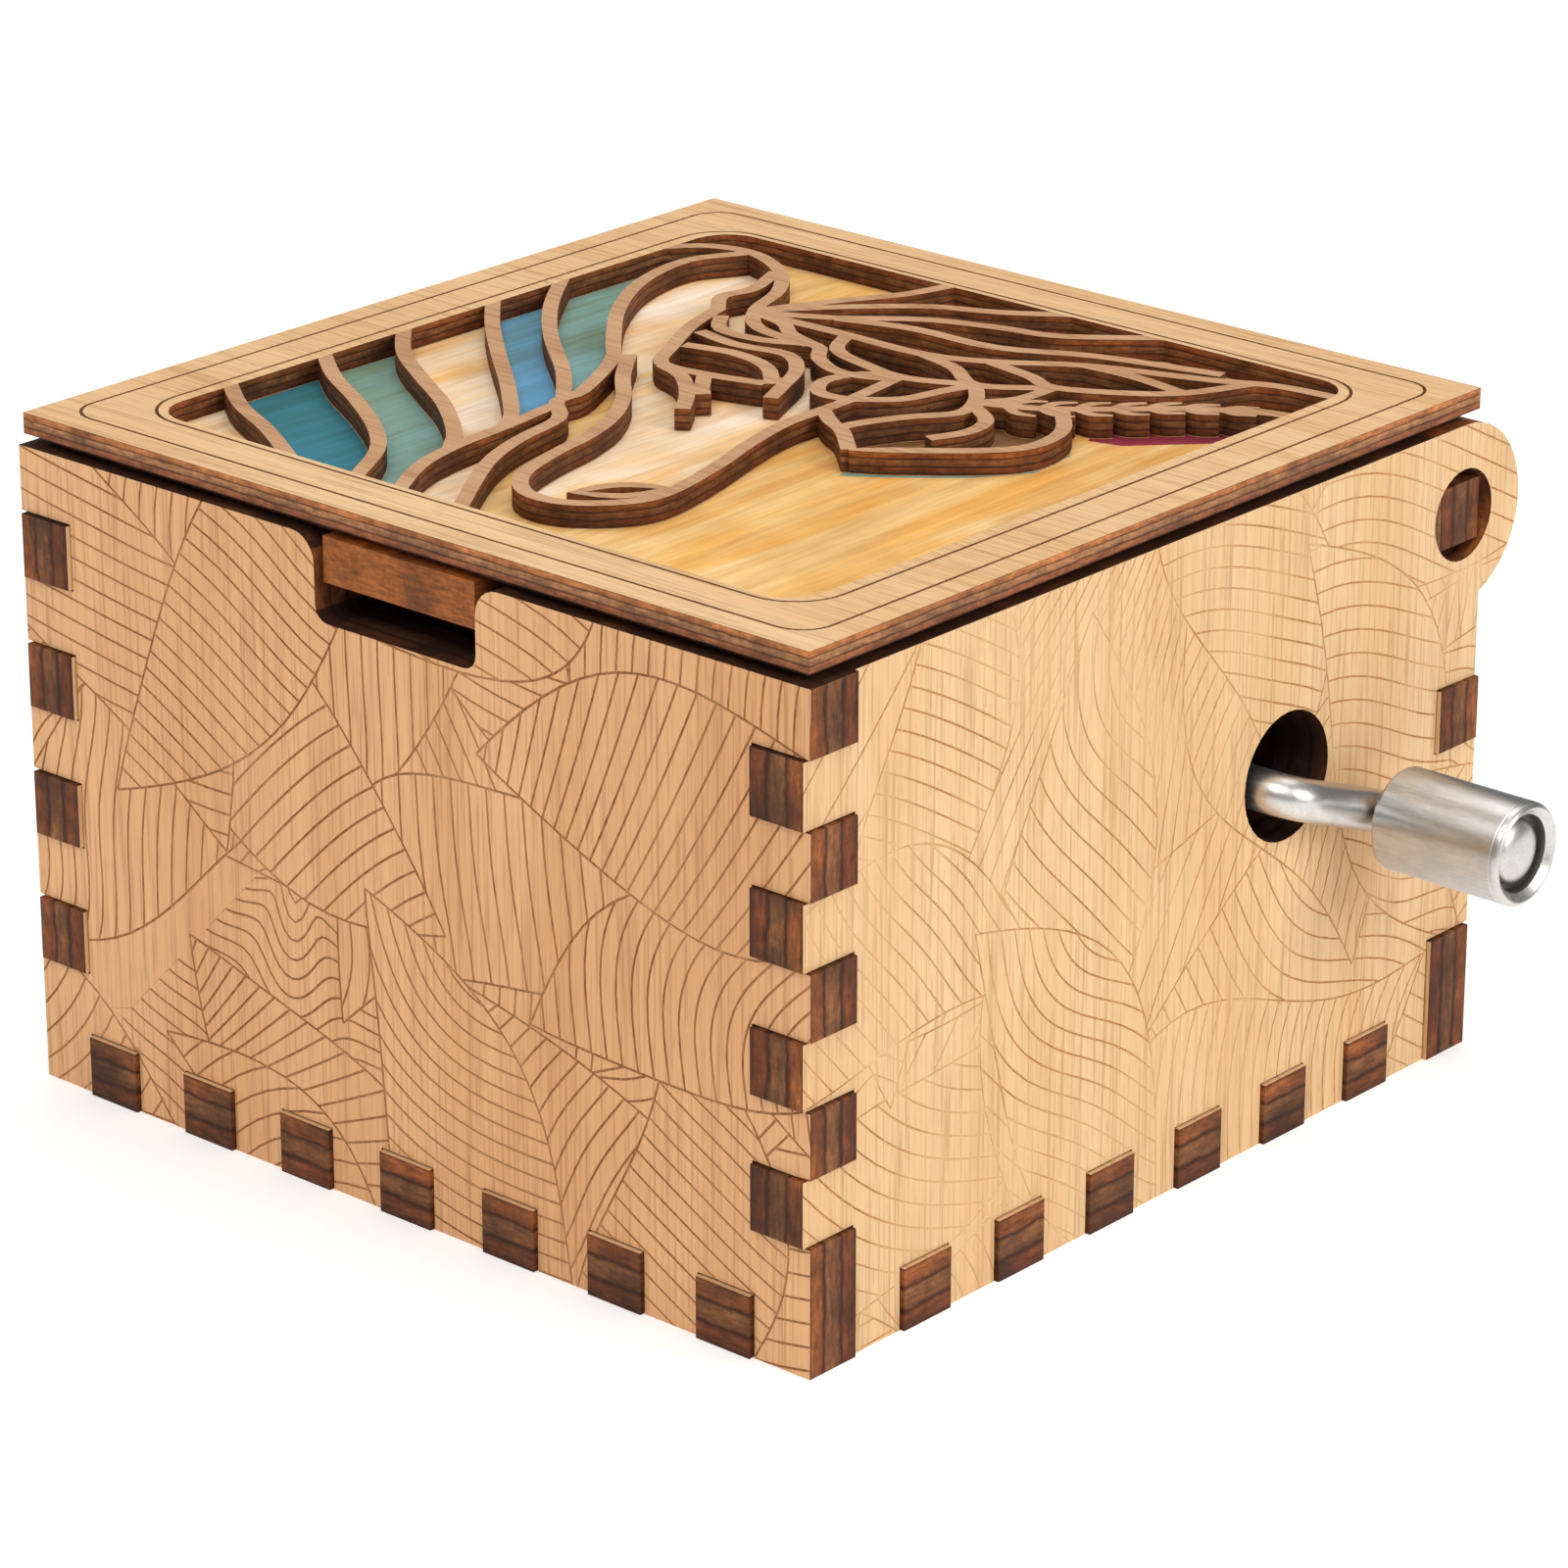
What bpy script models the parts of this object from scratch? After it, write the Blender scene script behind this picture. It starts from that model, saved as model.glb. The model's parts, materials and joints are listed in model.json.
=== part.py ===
"""Hand crank music box: a laser-cut plywood case with a hinged fretwork lid and a small comb movement.

Lengths below are in millimetres. The origin is the centre of the case's underside, +X points to the
crank side, -Y to the front with the thumb notch, +Y to the hinge and +Z up.
"""

import math

import bmesh
import bpy
from mathutils import Euler, Matrix, Vector
from mathutils.geometry import delaunay_2d_cdt

MM = 0.001

# Case
PLY = 4.0  # thickness of every wall and of the base
HALF = 32.0  # half the outer width and depth
WALL_HEIGHT = 42.3
INNER = HALF - PLY
KERF = 0.1  # clearance that the laser leaves round each finger
PROUD = 0.3  # how far the finger ends stand out of the neighbouring wall
RUNG_COUNT = 9
RUNG = (WALL_HEIGHT - PLY) / RUNG_COUNT
TAB_COUNT = 13
TAB = 2 * INNER / TAB_COUNT
BACK_HEIGHT = 33.0

# Thumb notch in the front wall
NOTCH_HALF = 6.6
NOTCH_FLOOR = 37.0
NOTCH_CORNER = 1.0
NOTCH_SHOULDER = 1.8

# Hinge
HINGE_Y = HALF - PLY / 2
HINGE_Z = 36.4
EAR_RADIUS = WALL_HEIGHT - HINGE_Z
HINGE_HOLE = 3.0
PEG_TIP = HALF - 0.3

# Lid
SHEET_LOW = 43.05
SHEET_HIGH = 44.4
SHEET_FRONT = -31.8
SHEET_REAR = 31.3
PICTURE_LOW = WALL_HEIGHT + 0.1
PICTURE_HIGH = SHEET_LOW - 0.1
PICTURE_MARGIN = 1.0
PLATE_LOW = 39.4
PLATE_HALF = INNER - 0.4
TONGUE_HALF = NOTCH_HALF - 0.4
TONGUE_FRONT = -31.6
BAR_LOW = 34.4
WINDOW_HALF = 26.3
WINDOW_Y = -0.25
WINDOW_CORNER = 2.7
STRIP_WIDTH = 1.0
HINGE_TABS = (-18.0, 0.0, 18.0)
HINGE_TAB_HALF = 3.0

# Crank and knob
WIRE = 1.35
SHAFT_Y = 10.2
SHAFT_Z = 23.8
SHAFT_START = -3.4
CRANK_HOLE = (12.4, 24.1)
CRANK_HOLE_RADIUS = 4.2
ARM_X = 34.0
ARM_LENGTH = 9.9
ARM_ANGLE = math.radians(-21)
BEND_RADIUS = 1.9
RUNNING_BORE = 1.43
KNOB_RADIUS = 3.3
KNOB_START = 35.6
KNOB_END = 45.1
RECESS_RADIUS = 2.5
RECESS_DEPTH = 1.2
RIVET_RADIUS = 2.1

# Movement
DRUM_X = 8.0
DRUM_Z = 14.4
DRUM_RADIUS = 6.5
DRUM_FRONT = -12.0
DRUM_REAR = 7.5
DRUM_SKIN = 0.6
ARBOR = 1.0
ARBOR_END = 15.4
ARBOR_BORE = 1.07
WHEEL_TEETH = 18
WHEEL_PITCH = 6.9
WHEEL_OUTER = 7.4
WHEEL_ROOT = 6.2
WHEEL_HALF_WIDTH = 1.5
WORM_PITCH_RADIUS = 2.4
WORM_OUTER = 3.0
WORM_ROOT = 1.85
WORM_HALF_LENGTH = 4.4
THREAD_PITCH = 2 * math.pi * WHEEL_PITCH / WHEEL_TEETH
THREAD_WIDTH = 0.9
BED_LOW = PLY + 0.1
BED_HIGH = 6.1
BED = (-23.0, 22.5, -20.5, 20.5)  # low and high X, low and high Y
RIDGE = (-20.5, -13.5, -11.6, 6.9)
RIDGE_HIGH = 14.0
COMB_LOW = RIDGE_HIGH + 0.1
COMB_HIGH = COMB_LOW + 0.8
COMB_BACK = -20.0
COMB_TIP = 0.9
COMB_TEETH = 18
COMB_SLOT = 0.25
COMB_ROOTS = (-11.0, -4.5)  # where the slots end, at the deep and at the high notes
COMB_SCREWS = (-8.6, 3.9)
COMB_SCREW_X = -17.0
BRACKET = 1.8
FOOT = 1.2
BEARING_Y = 14.1
SADDLE_X = (-0.7, 16.7)  # middle of the shaft bracket's two uprights
SADDLE_HALF_WIDTH = 2.5
SADDLE_TOP = 28.6
FOOT_LENGTH = 4.4
BASE_SCREWS = ((-19.0, -15.5), (17.0, -15.5), (-2.0, 16.0))
SCREW_SHANK = 0.9
SCREW_HOLE = 1.05
SCREW_HEAD = 1.8
BASE_SCREW_HEAD = 2.2
BASE_SCREW_RECESS = 0.15
BOSS_RADIUS = 2.6
BOSS_HIGH = 9.0

# Strips of the lid's fretwork, as points of their centre lines, seen from above
MANE = (
    ((-27.0, 20.0), (-24.5, 22.6), (-21.0, 23.2), (-17.0, 21.2), (-14.2, 17.8), (-12.6, 13.8), (-9.8, 11.0),
     (-5.0, 10.4)),
    ((-21.6, 22.9), (-23.4, 19.0), (-22.4, 13.6), (-19.4, 8.2), (-15.4, 3.4), (-11.6, -0.6)),
    ((-27.0, 11.0), (-23.0, 5.6), (-18.4, 0.8), (-13.0, -3.8), (-9.0, -8.0)),
    ((-27.0, 4.4), (-23.0, 0.2), (-18.4, -4.0), (-13.8, -8.0), (-9.4, -12.2), (-7.8, -14.4)),
    ((-27.0, -3.8), (-23.0, -7.8), (-18.4, -10.8), (-13.8, -13.6), (-9.6, -17.0), (-7.6, -19.4)),
    ((-27.0, -11.0), (-23.0, -14.0), (-18.4, -16.6), (-13.8, -19.6), (-10.6, -22.6), (-8.0, -27.0)),
    ((-27.0, -19.2), (-23.0, -22.0), (-18.4, -24.2), (-13.6, -27.0)),
)
FACE = (
    ((-14.6, 12.6), (-13.4, 8.6), (-11.4, 4.6), (-9.4, 1.4), (-5.6, 1.6), (-1.8, 2.6)),
    ((-12.2, 1.4), (-9.4, -2.2), (-6.4, -5.4), (-4.2, -8.8), (-2.9, -12.4), (-2.2, -16.0), (-0.8, -20.2),
     (1.6, -22.4), (4.6, -22.2), (7.2, -19.8), (7.9, -17.0), (6.8, -11.6), (5.4, -7.0), (4.4, -2.4),
     (4.3, 3.0), (3.6, 9.2)),
    ((-12.8, 0.6), (-11.4, -1.6), (-9.2, -6.2), (-9.0, -8.6), (-6.6, -11.0), (-5.6, -15.6), (-3.8, -20.2),
     (0.6, -27.0)),
    ((-8.6, -9.4), (-8.0, -14.2), (-7.6, -19.0), (-6.6, -23.0), (-4.4, -27.0)),
    ((-9.2, 1.2), (-6.6, 0.2), (-4.0, -2.2), (-2.2, -4.6)),
    ((-5.8, 1.4), (-4.2, -0.6), (-3.2, -1.6)),
)
FORELOCK = (
    ((-13.4, 11.4), (-11.4, 9.2), (-8.0, 9.2), (-4.6, 10.6), (-2.6, 8.6), (0.4, 7.4), (4.0, 8.6)),
    ((-12.2, 8.0), (-8.6, 7.4), (-4.8, 8.0), (-2.2, 6.0), (-0.6, 2.8), (0.4, 0.6)),
    ((-11.0, 5.2), (-7.4, 6.0), (-4.0, 5.2), (-1.4, 2.8)),
    ((-12.4, 13.4), (-9.4, 12.8), (-7.4, 11.4), (-4.8, 10.6)),
    ((-17.2, 21.0), (-15.8, 17.2), (-16.2, 14.6), (-14.6, 12.4)),
)
FEATHERS = (
    ((-12.4, 13.8), (-8.6, 18.2), (-4.6, 21.8), (-0.4, 23.8), (4.2, 27.0)),
    ((-12.4, 13.8), (-9.8, 19.0), (-7.6, 22.8), (-6.4, 27.0)),
    ((-11.8, 13.6), (-7.4, 16.0), (-3.0, 19.4), (1.6, 21.2), (5.8, 22.4), (11.6, 27.0)),
    ((-7.4, 15.8), (-2.2, 17.4), (4.2, 17.8), (10.2, 20.6), (18.4, 22.8)),
    ((-10.8, 13.4), (-4.8, 13.6), (1.6, 13.7), (6.0, 15.4), (10.8, 18.6), (18.4, 21.4), (22.4, 23.2),
     (27.0, 23.8)),
    ((-4.6, 13.6), (-3.0, 10.8), (0.4, 9.6), (4.0, 9.2), (8.2, 11.0)),
    ((1.6, 13.7), (5.0, 12.8), (8.2, 11.0), (12.2, 13.6)),
    ((6.0, 15.2), (9.6, 14.6), (12.2, 13.8), (16.4, 16.0), (19.0, 18.4), (21.0, 22.6)),
    ((10.8, 18.6), (14.6, 18.8), (18.8, 18.2)),
    ((8.2, 11.0), (10.2, 8.6), (11.0, 6.0), (9.2, 3.4), (7.8, 0.6), (7.4, -1.0)),
    ((4.1, 1.2), (6.2, -0.4), (8.0, -1.4), (10.6, -3.8)),
    ((4.0, 9.2), (1.4, 8.0), (0.6, 5.4), (2.0, 3.4), (4.4, 3.6)),
    ((4.2, 3.6), (6.6, 5.8), (7.4, 8.6), (8.2, 11.0)),
    ((12.2, 13.8), (12.0, 10.6), (10.4, 8.2)),
    ((10.6, 7.8), (13.2, 6.0), (13.8, 3.6), (12.8, 1.0)),
)
PLUME = ((10.4, 8.2), (14.2, 10.0), (17.6, 12.8), (20.8, 15.8), (24.6, 18.2), (27.0, 19.0))
PLUME_BARBS = 7
CRESCENT = ((15.2, 10.8), (18.0, 7.4), (18.4, 3.8), (16.4, 1.0), (12.6, -2.2), (10.6, -3.8))
NOSTRIL = (5.6, -18.4)
NOSTRIL_LENGTH = 4.2
NOSTRIL_WIDTH = 1.1

COLOURS = {
    "ply": ((0.74, 0.50, 0.29, 1.0), 0.62, 0.0),
    "lid_wood": ((0.78, 0.56, 0.33, 1.0), 0.60, 0.0),
    "picture": ((0.28, 0.52, 0.55, 1.0), 0.55, 0.0),
    "steel": ((0.72, 0.71, 0.69, 1.0), 0.25, 1.0),
    "brass": ((0.80, 0.60, 0.28, 1.0), 0.30, 1.0),
    "zinc": ((0.55, 0.56, 0.58, 1.0), 0.45, 1.0),
    "comb_steel": ((0.62, 0.64, 0.68, 1.0), 0.30, 1.0),
}


def clear_scene():
    """Remove whatever the file opened with."""
    for item in list(bpy.data.objects):
        bpy.data.objects.remove(item, do_unlink=True)


def new_collection(name):
    made = bpy.data.collections.new(name)
    bpy.context.scene.collection.children.link(made)
    return made


def material_for(node, look):
    """A Principled BSDF material of the node's own."""
    colour, roughness, metallic = COLOURS[look]
    made = bpy.data.materials.new(node)
    made.use_nodes = True
    shader = made.node_tree.nodes["Principled BSDF"]
    shader.inputs["Base Color"].default_value = colour
    shader.inputs["Roughness"].default_value = roughness
    shader.inputs["Metallic"].default_value = metallic
    made.diffuse_color = colour
    return made


def add_part(name, data, look, place=None):
    """Put mesh or curve data in the parts collection as the node called name."""
    made = bpy.data.objects.new(name, data)
    PARTS.objects.link(made)
    data.materials.append(material_for(name, look))
    if place is not None:
        made.matrix_world = place
    return made


def add_cutter(name, data, place=None):
    """A shape that only cuts or joins another one."""
    made = bpy.data.objects.new(name, data)
    CUTTERS.objects.link(made)
    made.hide_render = True
    made.display_type = "WIRE"
    if place is not None:
        made.matrix_world = place
    return made


def placed(x, y, z, turn=(0.0, 0.0, 0.0)):
    """A placement in millimetres and degrees."""
    angles = Euler([math.radians(a) for a in turn])
    return Matrix.Translation(Vector((x, y, z)) * MM) @ angles.to_matrix().to_4x4()


ALONG_X = (90.0, 0.0, 90.0)  # a flat outline's x and y become world Y and Z, and its normal +X
ALONG_Y = (90.0, 0.0, 0.0)  # a flat outline's x and y become world X and Z, and its normal -Y


def arc(centre, radius, start, end, steps):
    """Points of an arc between two angles in degrees, ends included."""
    points = []
    for step in range(steps + 1):
        angle = math.radians(start + (end - start) * step / steps)
        points.append((centre[0] + radius * math.cos(angle), centre[1] + radius * math.sin(angle)))
    return points


def circle(centre, radius, steps=32):
    return arc(centre, radius, 0, 360 * (steps - 1) / steps, steps - 1)


def rectangle(low_x, high_x, low_y, high_y):
    return [(low_x, low_y), (high_x, low_y), (high_x, high_y), (low_x, high_y)]


def rounded_rectangle(centre, half_x, half_y, radius, steps=6):
    """A rectangle with round corners, anticlockwise from its lower right corner."""
    outline = []
    for sign_x, sign_y, start in ((1, -1, -90), (1, 1, 0), (-1, 1, 90), (-1, -1, 180)):
        corner = (centre[0] + sign_x * (half_x - radius), centre[1] + sign_y * (half_y - radius))
        outline += arc(corner, radius, start, start + 90, steps)
    return outline


def flat_outline(name, outlines, thickness):
    """Curve data for a flat piece: the first outline is its edge and the others are its holes."""
    data = bpy.data.curves.new(name, "CURVE")
    data.dimensions = "2D"
    data.fill_mode = "BOTH"
    data.extrude = thickness / 2 * MM
    for outline in outlines:
        spline = data.splines.new("POLY")
        spline.points.add(len(outline) - 1)
        for point, (x, y) in zip(spline.points, outline, strict=True):
            point.co = (x * MM, y * MM, 0.0, 1.0)
        spline.use_cyclic_u = True
    return data


def join_flat_faces(bm):
    """Merge the triangles of each flat face, whose slivers would upset a Boolean."""
    bmesh.ops.dissolve_limit(bm, angle_limit=math.radians(0.05), verts=bm.verts, edges=bm.edges)


def as_mesh(curve_object):
    """The welded mesh of a curve object, which is removed."""
    depsgraph = bpy.context.evaluated_depsgraph_get()
    mesh = bpy.data.meshes.new_from_object(curve_object.evaluated_get(depsgraph))
    mesh.materials.clear()
    bm = bmesh.new()
    bm.from_mesh(mesh)
    bmesh.ops.remove_doubles(bm, verts=bm.verts, dist=0.001 * MM)
    join_flat_faces(bm)
    bmesh.ops.recalc_face_normals(bm, faces=bm.faces)
    bm.to_mesh(mesh)
    bm.free()
    bpy.data.objects.remove(curve_object, do_unlink=True)
    return mesh


def flat_mesh(name, outlines, thickness):
    """The same flat piece as a mesh, for pieces that are cut or joined."""
    return as_mesh(add_cutter(name, flat_outline(name, outlines, thickness)))


def box_mesh(name, low, high):
    """A box between two corners."""
    mesh = bpy.data.meshes.new(name)
    bm = bmesh.new()
    bmesh.ops.create_cube(bm, size=1.0)
    size = Vector(high) - Vector(low)
    middle = (Vector(high) + Vector(low)) / 2
    bmesh.ops.scale(bm, vec=size * MM, verts=bm.verts)
    bmesh.ops.translate(bm, vec=middle * MM, verts=bm.verts)
    bm.to_mesh(mesh)
    bm.free()
    return mesh


def turned_mesh(name, profile, steps=32):
    """A solid of revolution about its own Z, from a closed profile of (radius, height) points."""
    mesh = bpy.data.meshes.new(name)
    bm = bmesh.new()
    ring = [bm.verts.new((r * MM, 0.0, z * MM)) for r, z in profile]
    pairs = list(zip(ring, ring[1:], strict=False))
    if profile[0][0] > 0.0:
        pairs.append((ring[-1], ring[0]))
    edges = [bm.edges.new(pair) for pair in pairs]
    bmesh.ops.spin(bm, geom=ring + edges, cent=(0, 0, 0), axis=(0, 0, 1), angle=2 * math.pi, steps=steps,
                   use_merge=True)
    bmesh.ops.remove_doubles(bm, verts=bm.verts, dist=0.001 * MM)
    bmesh.ops.recalc_face_normals(bm, faces=bm.faces)
    bm.to_mesh(mesh)
    bm.free()
    mesh.shade_smooth()
    mesh.set_sharp_from_angle(angle=math.radians(35))
    return mesh


def wrapped_mesh(name, segments, rows):
    """A sleeve whose outer radius varies: a grid wrapped into a ring, one row for each (height, radius) pair.

    Each radius is a function of the angle, so the rows can follow teeth or a thread. The rows run up the
    outside and back down the bore, and the last one joins the first.
    """
    mesh = bpy.data.meshes.new(name)
    bm = bmesh.new()
    bmesh.ops.create_grid(bm, x_segments=segments, y_segments=len(rows), size=1.0)
    for vert in bm.verts:
        column = round((vert.co.x + 1) / 2 * segments)
        row = round((vert.co.y + 1) / 2 * len(rows))
        height, radius_at, twist = rows[row % len(rows)]
        angle = 2 * math.pi * (column % segments) / segments
        radius = radius_at(angle)
        vert.co = Vector((radius * math.cos(angle + twist), radius * math.sin(angle + twist), height)) * MM
    bmesh.ops.remove_doubles(bm, verts=bm.verts, dist=0.001 * MM)
    bmesh.ops.recalc_face_normals(bm, faces=bm.faces)
    bm.to_mesh(mesh)
    bm.free()
    return mesh


def boolean(target, cutter, operation="DIFFERENCE", solver="EXACT"):
    """Cut the target with the cutter, or join the two."""
    modifier = target.modifiers.new(cutter.name, "BOOLEAN")
    modifier.operation = operation
    modifier.solver = solver
    modifier.object = cutter


def soften(target, width):
    """Break the sharp edges of a metal piece."""
    modifier = target.modifiers.new("soften", "BEVEL")
    modifier.width = width * MM
    modifier.segments = 1
    modifier.limit_method = "ANGLE"
    modifier.angle_limit = math.radians(50)


def rung_bounds(rung):
    """Low and high Z of a finger of the corner joints; the lowest one also takes the base's thickness."""
    low = 0.0 if rung == 0 else PLY + rung * RUNG
    return low, PLY + (rung + 1) * RUNG


def side_edge(owned, highest, flush_from=None):
    """Points up the right-hand edge of a wall: the owned rungs reach out, the others leave room."""
    points = []
    for rung in range(highest + 1):
        low, high = rung_bounds(rung)
        if rung in owned:
            low = low + KERF / 2 if rung else 0.0
            high = high - KERF / 2 if rung < RUNG_COUNT - 1 else high
            reach = HALF + PROUD
        else:
            low = low - KERF / 2 if rung else 0.0
            high = high + KERF / 2 if rung < RUNG_COUNT - 1 else high
            reach = INNER - KERF
        if flush_from is not None and rung >= flush_from:
            reach = HALF
        points += [(reach, low), (reach, high)]
    return points


def bottom_edge(tab_parity):
    """Points along a wall's lower edge, from left to right, with a notch for each tab of the base."""
    points = []
    for tab in range(tab_parity, TAB_COUNT, 2):
        low = -INNER + tab * TAB - KERF / 2
        high = low + TAB + KERF
        points += [(low, 0.0), (low, PLY + KERF), (high, PLY + KERF), (high, 0.0)]
    return points


def mirrored(points):
    """The same points on the left-hand side, in the order that closes an outline."""
    return [(-x, y) for x, y in reversed(points)]


def make_base():
    """Floor of the case, with tabs through all four walls and three countersunk screw holes."""
    outline = []
    core = INNER - KERF
    reach = HALF + PROUD
    for side in range(4):
        turn = Matrix.Rotation(math.radians(90 * side), 2)
        points = [(-core, -core)]
        for tab in range(side % 2, TAB_COUNT, 2):
            low = -INNER + tab * TAB + KERF / 2
            high = low + TAB - KERF
            low = max(low, -core)
            high = min(high, core)
            points += [(low, -core), (low, -reach), (high, -reach), (high, -core)]
        outline += [tuple(round(c, 3) for c in turn @ Vector(p)) for p in points]
    clean = [p for n, p in enumerate(outline) if (Vector(p) - Vector(outline[n - 1])).length > 0.01]
    base = add_part("base_plate", flat_mesh("base_sheet", [clean], PLY), "ply", placed(0, 0, PLY / 2))
    sink = [(0.0, PLY + 1), (SCREW_HOLE, PLY + 1), (SCREW_HOLE, 1.6), (BASE_SCREW_HEAD + 0.2, 0.2),
            (BASE_SCREW_HEAD + 0.2, -1.0), (0.0, -1.0)]
    for number, (x, y) in enumerate(BASE_SCREWS, 1):
        cutter = add_cutter(f"base_sink_{number}", turned_mesh("base_sink", sink, 24), placed(x, y, 0))
        boolean(base, cutter, solver="MANIFOLD")


def make_front_wall():
    """Front wall with the thumb notch in its top edge."""
    edge = side_edge({0, 2, 4, 6, 8}, RUNG_COUNT - 1)
    notch = arc((NOTCH_HALF + NOTCH_SHOULDER, WALL_HEIGHT - NOTCH_SHOULDER), NOTCH_SHOULDER, 90, 180, 6)
    notch += arc((NOTCH_HALF - NOTCH_CORNER, NOTCH_FLOOR + NOTCH_CORNER), NOTCH_CORNER, 0, -90, 4)
    outline = bottom_edge(0) + edge + notch + mirrored(notch) + mirrored(edge)
    add_part("front_panel", flat_outline("front_panel", [outline], PLY), "ply",
             placed(0, -HALF + PLY / 2, 0, ALONG_Y))


def make_back_wall():
    """Lower rear wall, which leaves room for the hinge bar above it."""
    edge = side_edge({0, 2, 4}, 5)[:-1] + [(INNER - KERF, BACK_HEIGHT)]
    outline = bottom_edge(0) + edge + mirrored(edge)
    add_part("back_panel", flat_outline("back_panel", [outline], PLY), "ply",
             placed(0, HALF - PLY / 2, 0, ALONG_Y))


def make_side_wall(name, x, holes):
    """Side wall with its round hinge ear at the rear."""
    rear = side_edge({1, 3}, 5, flush_from=5)[:-1]
    join = math.degrees(math.asin(-math.sqrt(EAR_RADIUS**2 - (HALF - HINGE_Y) ** 2) / EAR_RADIUS))
    ear = arc((HINGE_Y, HINGE_Z), EAR_RADIUS, join, 90, 18)
    front = side_edge({1, 3, 5, 7}, RUNG_COUNT - 1)
    outline = bottom_edge(1) + rear + ear + mirrored(front)
    hinge_hole = circle((HINGE_Y, HINGE_Z), HINGE_HOLE)
    add_part(name, flat_outline(name, [outline, hinge_hole, *holes], PLY), "ply", placed(x, 0, 0, ALONG_X))


def smooth_line(points, per_span=4):
    """Points of a smooth line through the given ones (centripetal spacing is not needed at this scale)."""
    vectors = [Vector(p) for p in points]
    padded = [2 * vectors[0] - vectors[1], *vectors, 2 * vectors[-1] - vectors[-2]]
    line = []
    for before, start, end, after in zip(padded, padded[1:], padded[2:], padded[3:], strict=False):
        for step in range(per_span):
            t = step / per_span
            line.append(0.5 * (2 * start + (end - before) * t + (2 * before - 5 * start + 4 * end - after) * t**2
                               + (3 * start - before - 3 * end + after) * t**3))
    line.append(vectors[-1])
    return line


def strip_outline(points, width=STRIP_WIDTH, tip=1.0):
    """Closed outline of a strip along a smooth line; tip is the end's share of the width."""
    line = smooth_line(points)
    left, right = [], []
    for number, point in enumerate(line):
        ahead = line[min(number + 1, len(line) - 1)]
        behind = line[max(number - 1, 0)]
        along = (ahead - behind).normalized()
        across = Vector((-along.y, along.x))
        remaining = (len(line) - 1 - number) / 4
        half = width / 2 * min(1.0, tip + (1.0 - tip) * remaining)
        left.append(point + across * half)
        right.append(point - across * half)
    return [tuple(p) for p in right + left[::-1]]


def leaf_outline(centre, length, width, direction):
    """A pointed leaf, as two arcs of a sine."""
    along = Vector((math.cos(direction), math.sin(direction)))
    across = Vector((-along.y, along.x))
    steps = 8
    lower, upper = [], []
    for step in range(steps + 1):
        share = step / steps
        bulge = width / 2 * math.sin(math.pi * share)
        point = Vector(centre) + along * length * (share - 0.5)
        lower.append(point - across * bulge)
        upper.append(point + across * bulge)
    return [tuple(p) for p in lower + upper[-2:0:-1]]


def plume_barbs():
    """Short strips in pairs along the plume, each swept back to the spine."""
    spine = smooth_line(PLUME)
    barbs = []
    for number in range(PLUME_BARBS):
        at = spine[2 + number * (len(spine) - 6) // PLUME_BARBS]
        ahead = spine[3 + number * (len(spine) - 6) // PLUME_BARBS]
        along = (ahead - at).normalized()
        across = Vector((-along.y, along.x))
        reach = 1.5 - 0.12 * number
        for side in (-1, 1):
            middle = at + along * 0.9 + across * side * reach * 0.8
            tip = at + along * 2.2 + across * side * reach
            barbs.append([tuple(at), tuple(middle), tuple(tip)])
    return barbs


def make_fretwork():
    """Upper sheet of the lid: a frame round an open window that the fretwork's strips cross.

    All the outlines are merged in one flat triangulation. A piece of it is wood if it lies in the frame
    or in any strip, and the wood is then given the sheet's thickness.
    """
    frame = rectangle(-HALF, HALF, SHEET_FRONT, SHEET_REAR)
    window = rounded_rectangle((0.0, WINDOW_Y), WINDOW_HALF, WINDOW_HALF, WINDOW_CORNER)
    strips = [strip_outline(points) for points in MANE + FACE + FORELOCK + FEATHERS]
    strips += [strip_outline(PLUME), strip_outline(CRESCENT, STRIP_WIDTH, 0.4)]
    strips += [strip_outline(points, 0.7, 0.5) for points in plume_barbs()]
    nostril = leaf_outline(NOSTRIL, NOSTRIL_LENGTH, NOSTRIL_WIDTH, math.radians(48))
    muzzle = leaf_outline(NOSTRIL, NOSTRIL_LENGTH + 2.4, NOSTRIL_WIDTH + 1.9, math.radians(48))
    outlines = [frame, window, nostril, muzzle, *strips]
    points, faces = [], []
    for outline in outlines:
        faces.append(list(range(len(points), len(points) + len(outline))))
        points += [Vector(p) for p in outline]
    flat, _, cells, _, _, sources = delaunay_2d_cdt(points, [], faces, 0, 1e-4, True)
    mesh = bpy.data.meshes.new("lid_fretwork")
    bm = bmesh.new()
    verts = [bm.verts.new((p.x * MM, p.y * MM, SHEET_LOW * MM)) for p in flat]
    for cell, source in zip(cells, sources, strict=True):
        in_frame = 0 in source and 1 not in source
        in_strip = any(number >= 3 for number in source) and 2 not in source
        if in_frame or in_strip:
            bm.faces.new([verts[corner] for corner in cell])
    bmesh.ops.delete(bm, geom=[v for v in bm.verts if not v.link_faces], context="VERTS")
    loose = [e for e in bm.edges if not e.link_faces]
    bmesh.ops.delete(bm, geom=loose, context="EDGES")
    join_flat_faces(bm)
    bmesh.ops.recalc_face_normals(bm, faces=bm.faces)
    bm.to_mesh(mesh)
    bm.free()
    sheet = add_part("lid_fretwork", mesh, "lid_wood")
    modifier = sheet.modifiers.new("thickness", "SOLIDIFY")
    modifier.thickness = (SHEET_HIGH - SHEET_LOW) * MM
    modifier.offset = 1.0 if mesh.polygons[0].normal.z > 0 else -1.0
    return sheet


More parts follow.
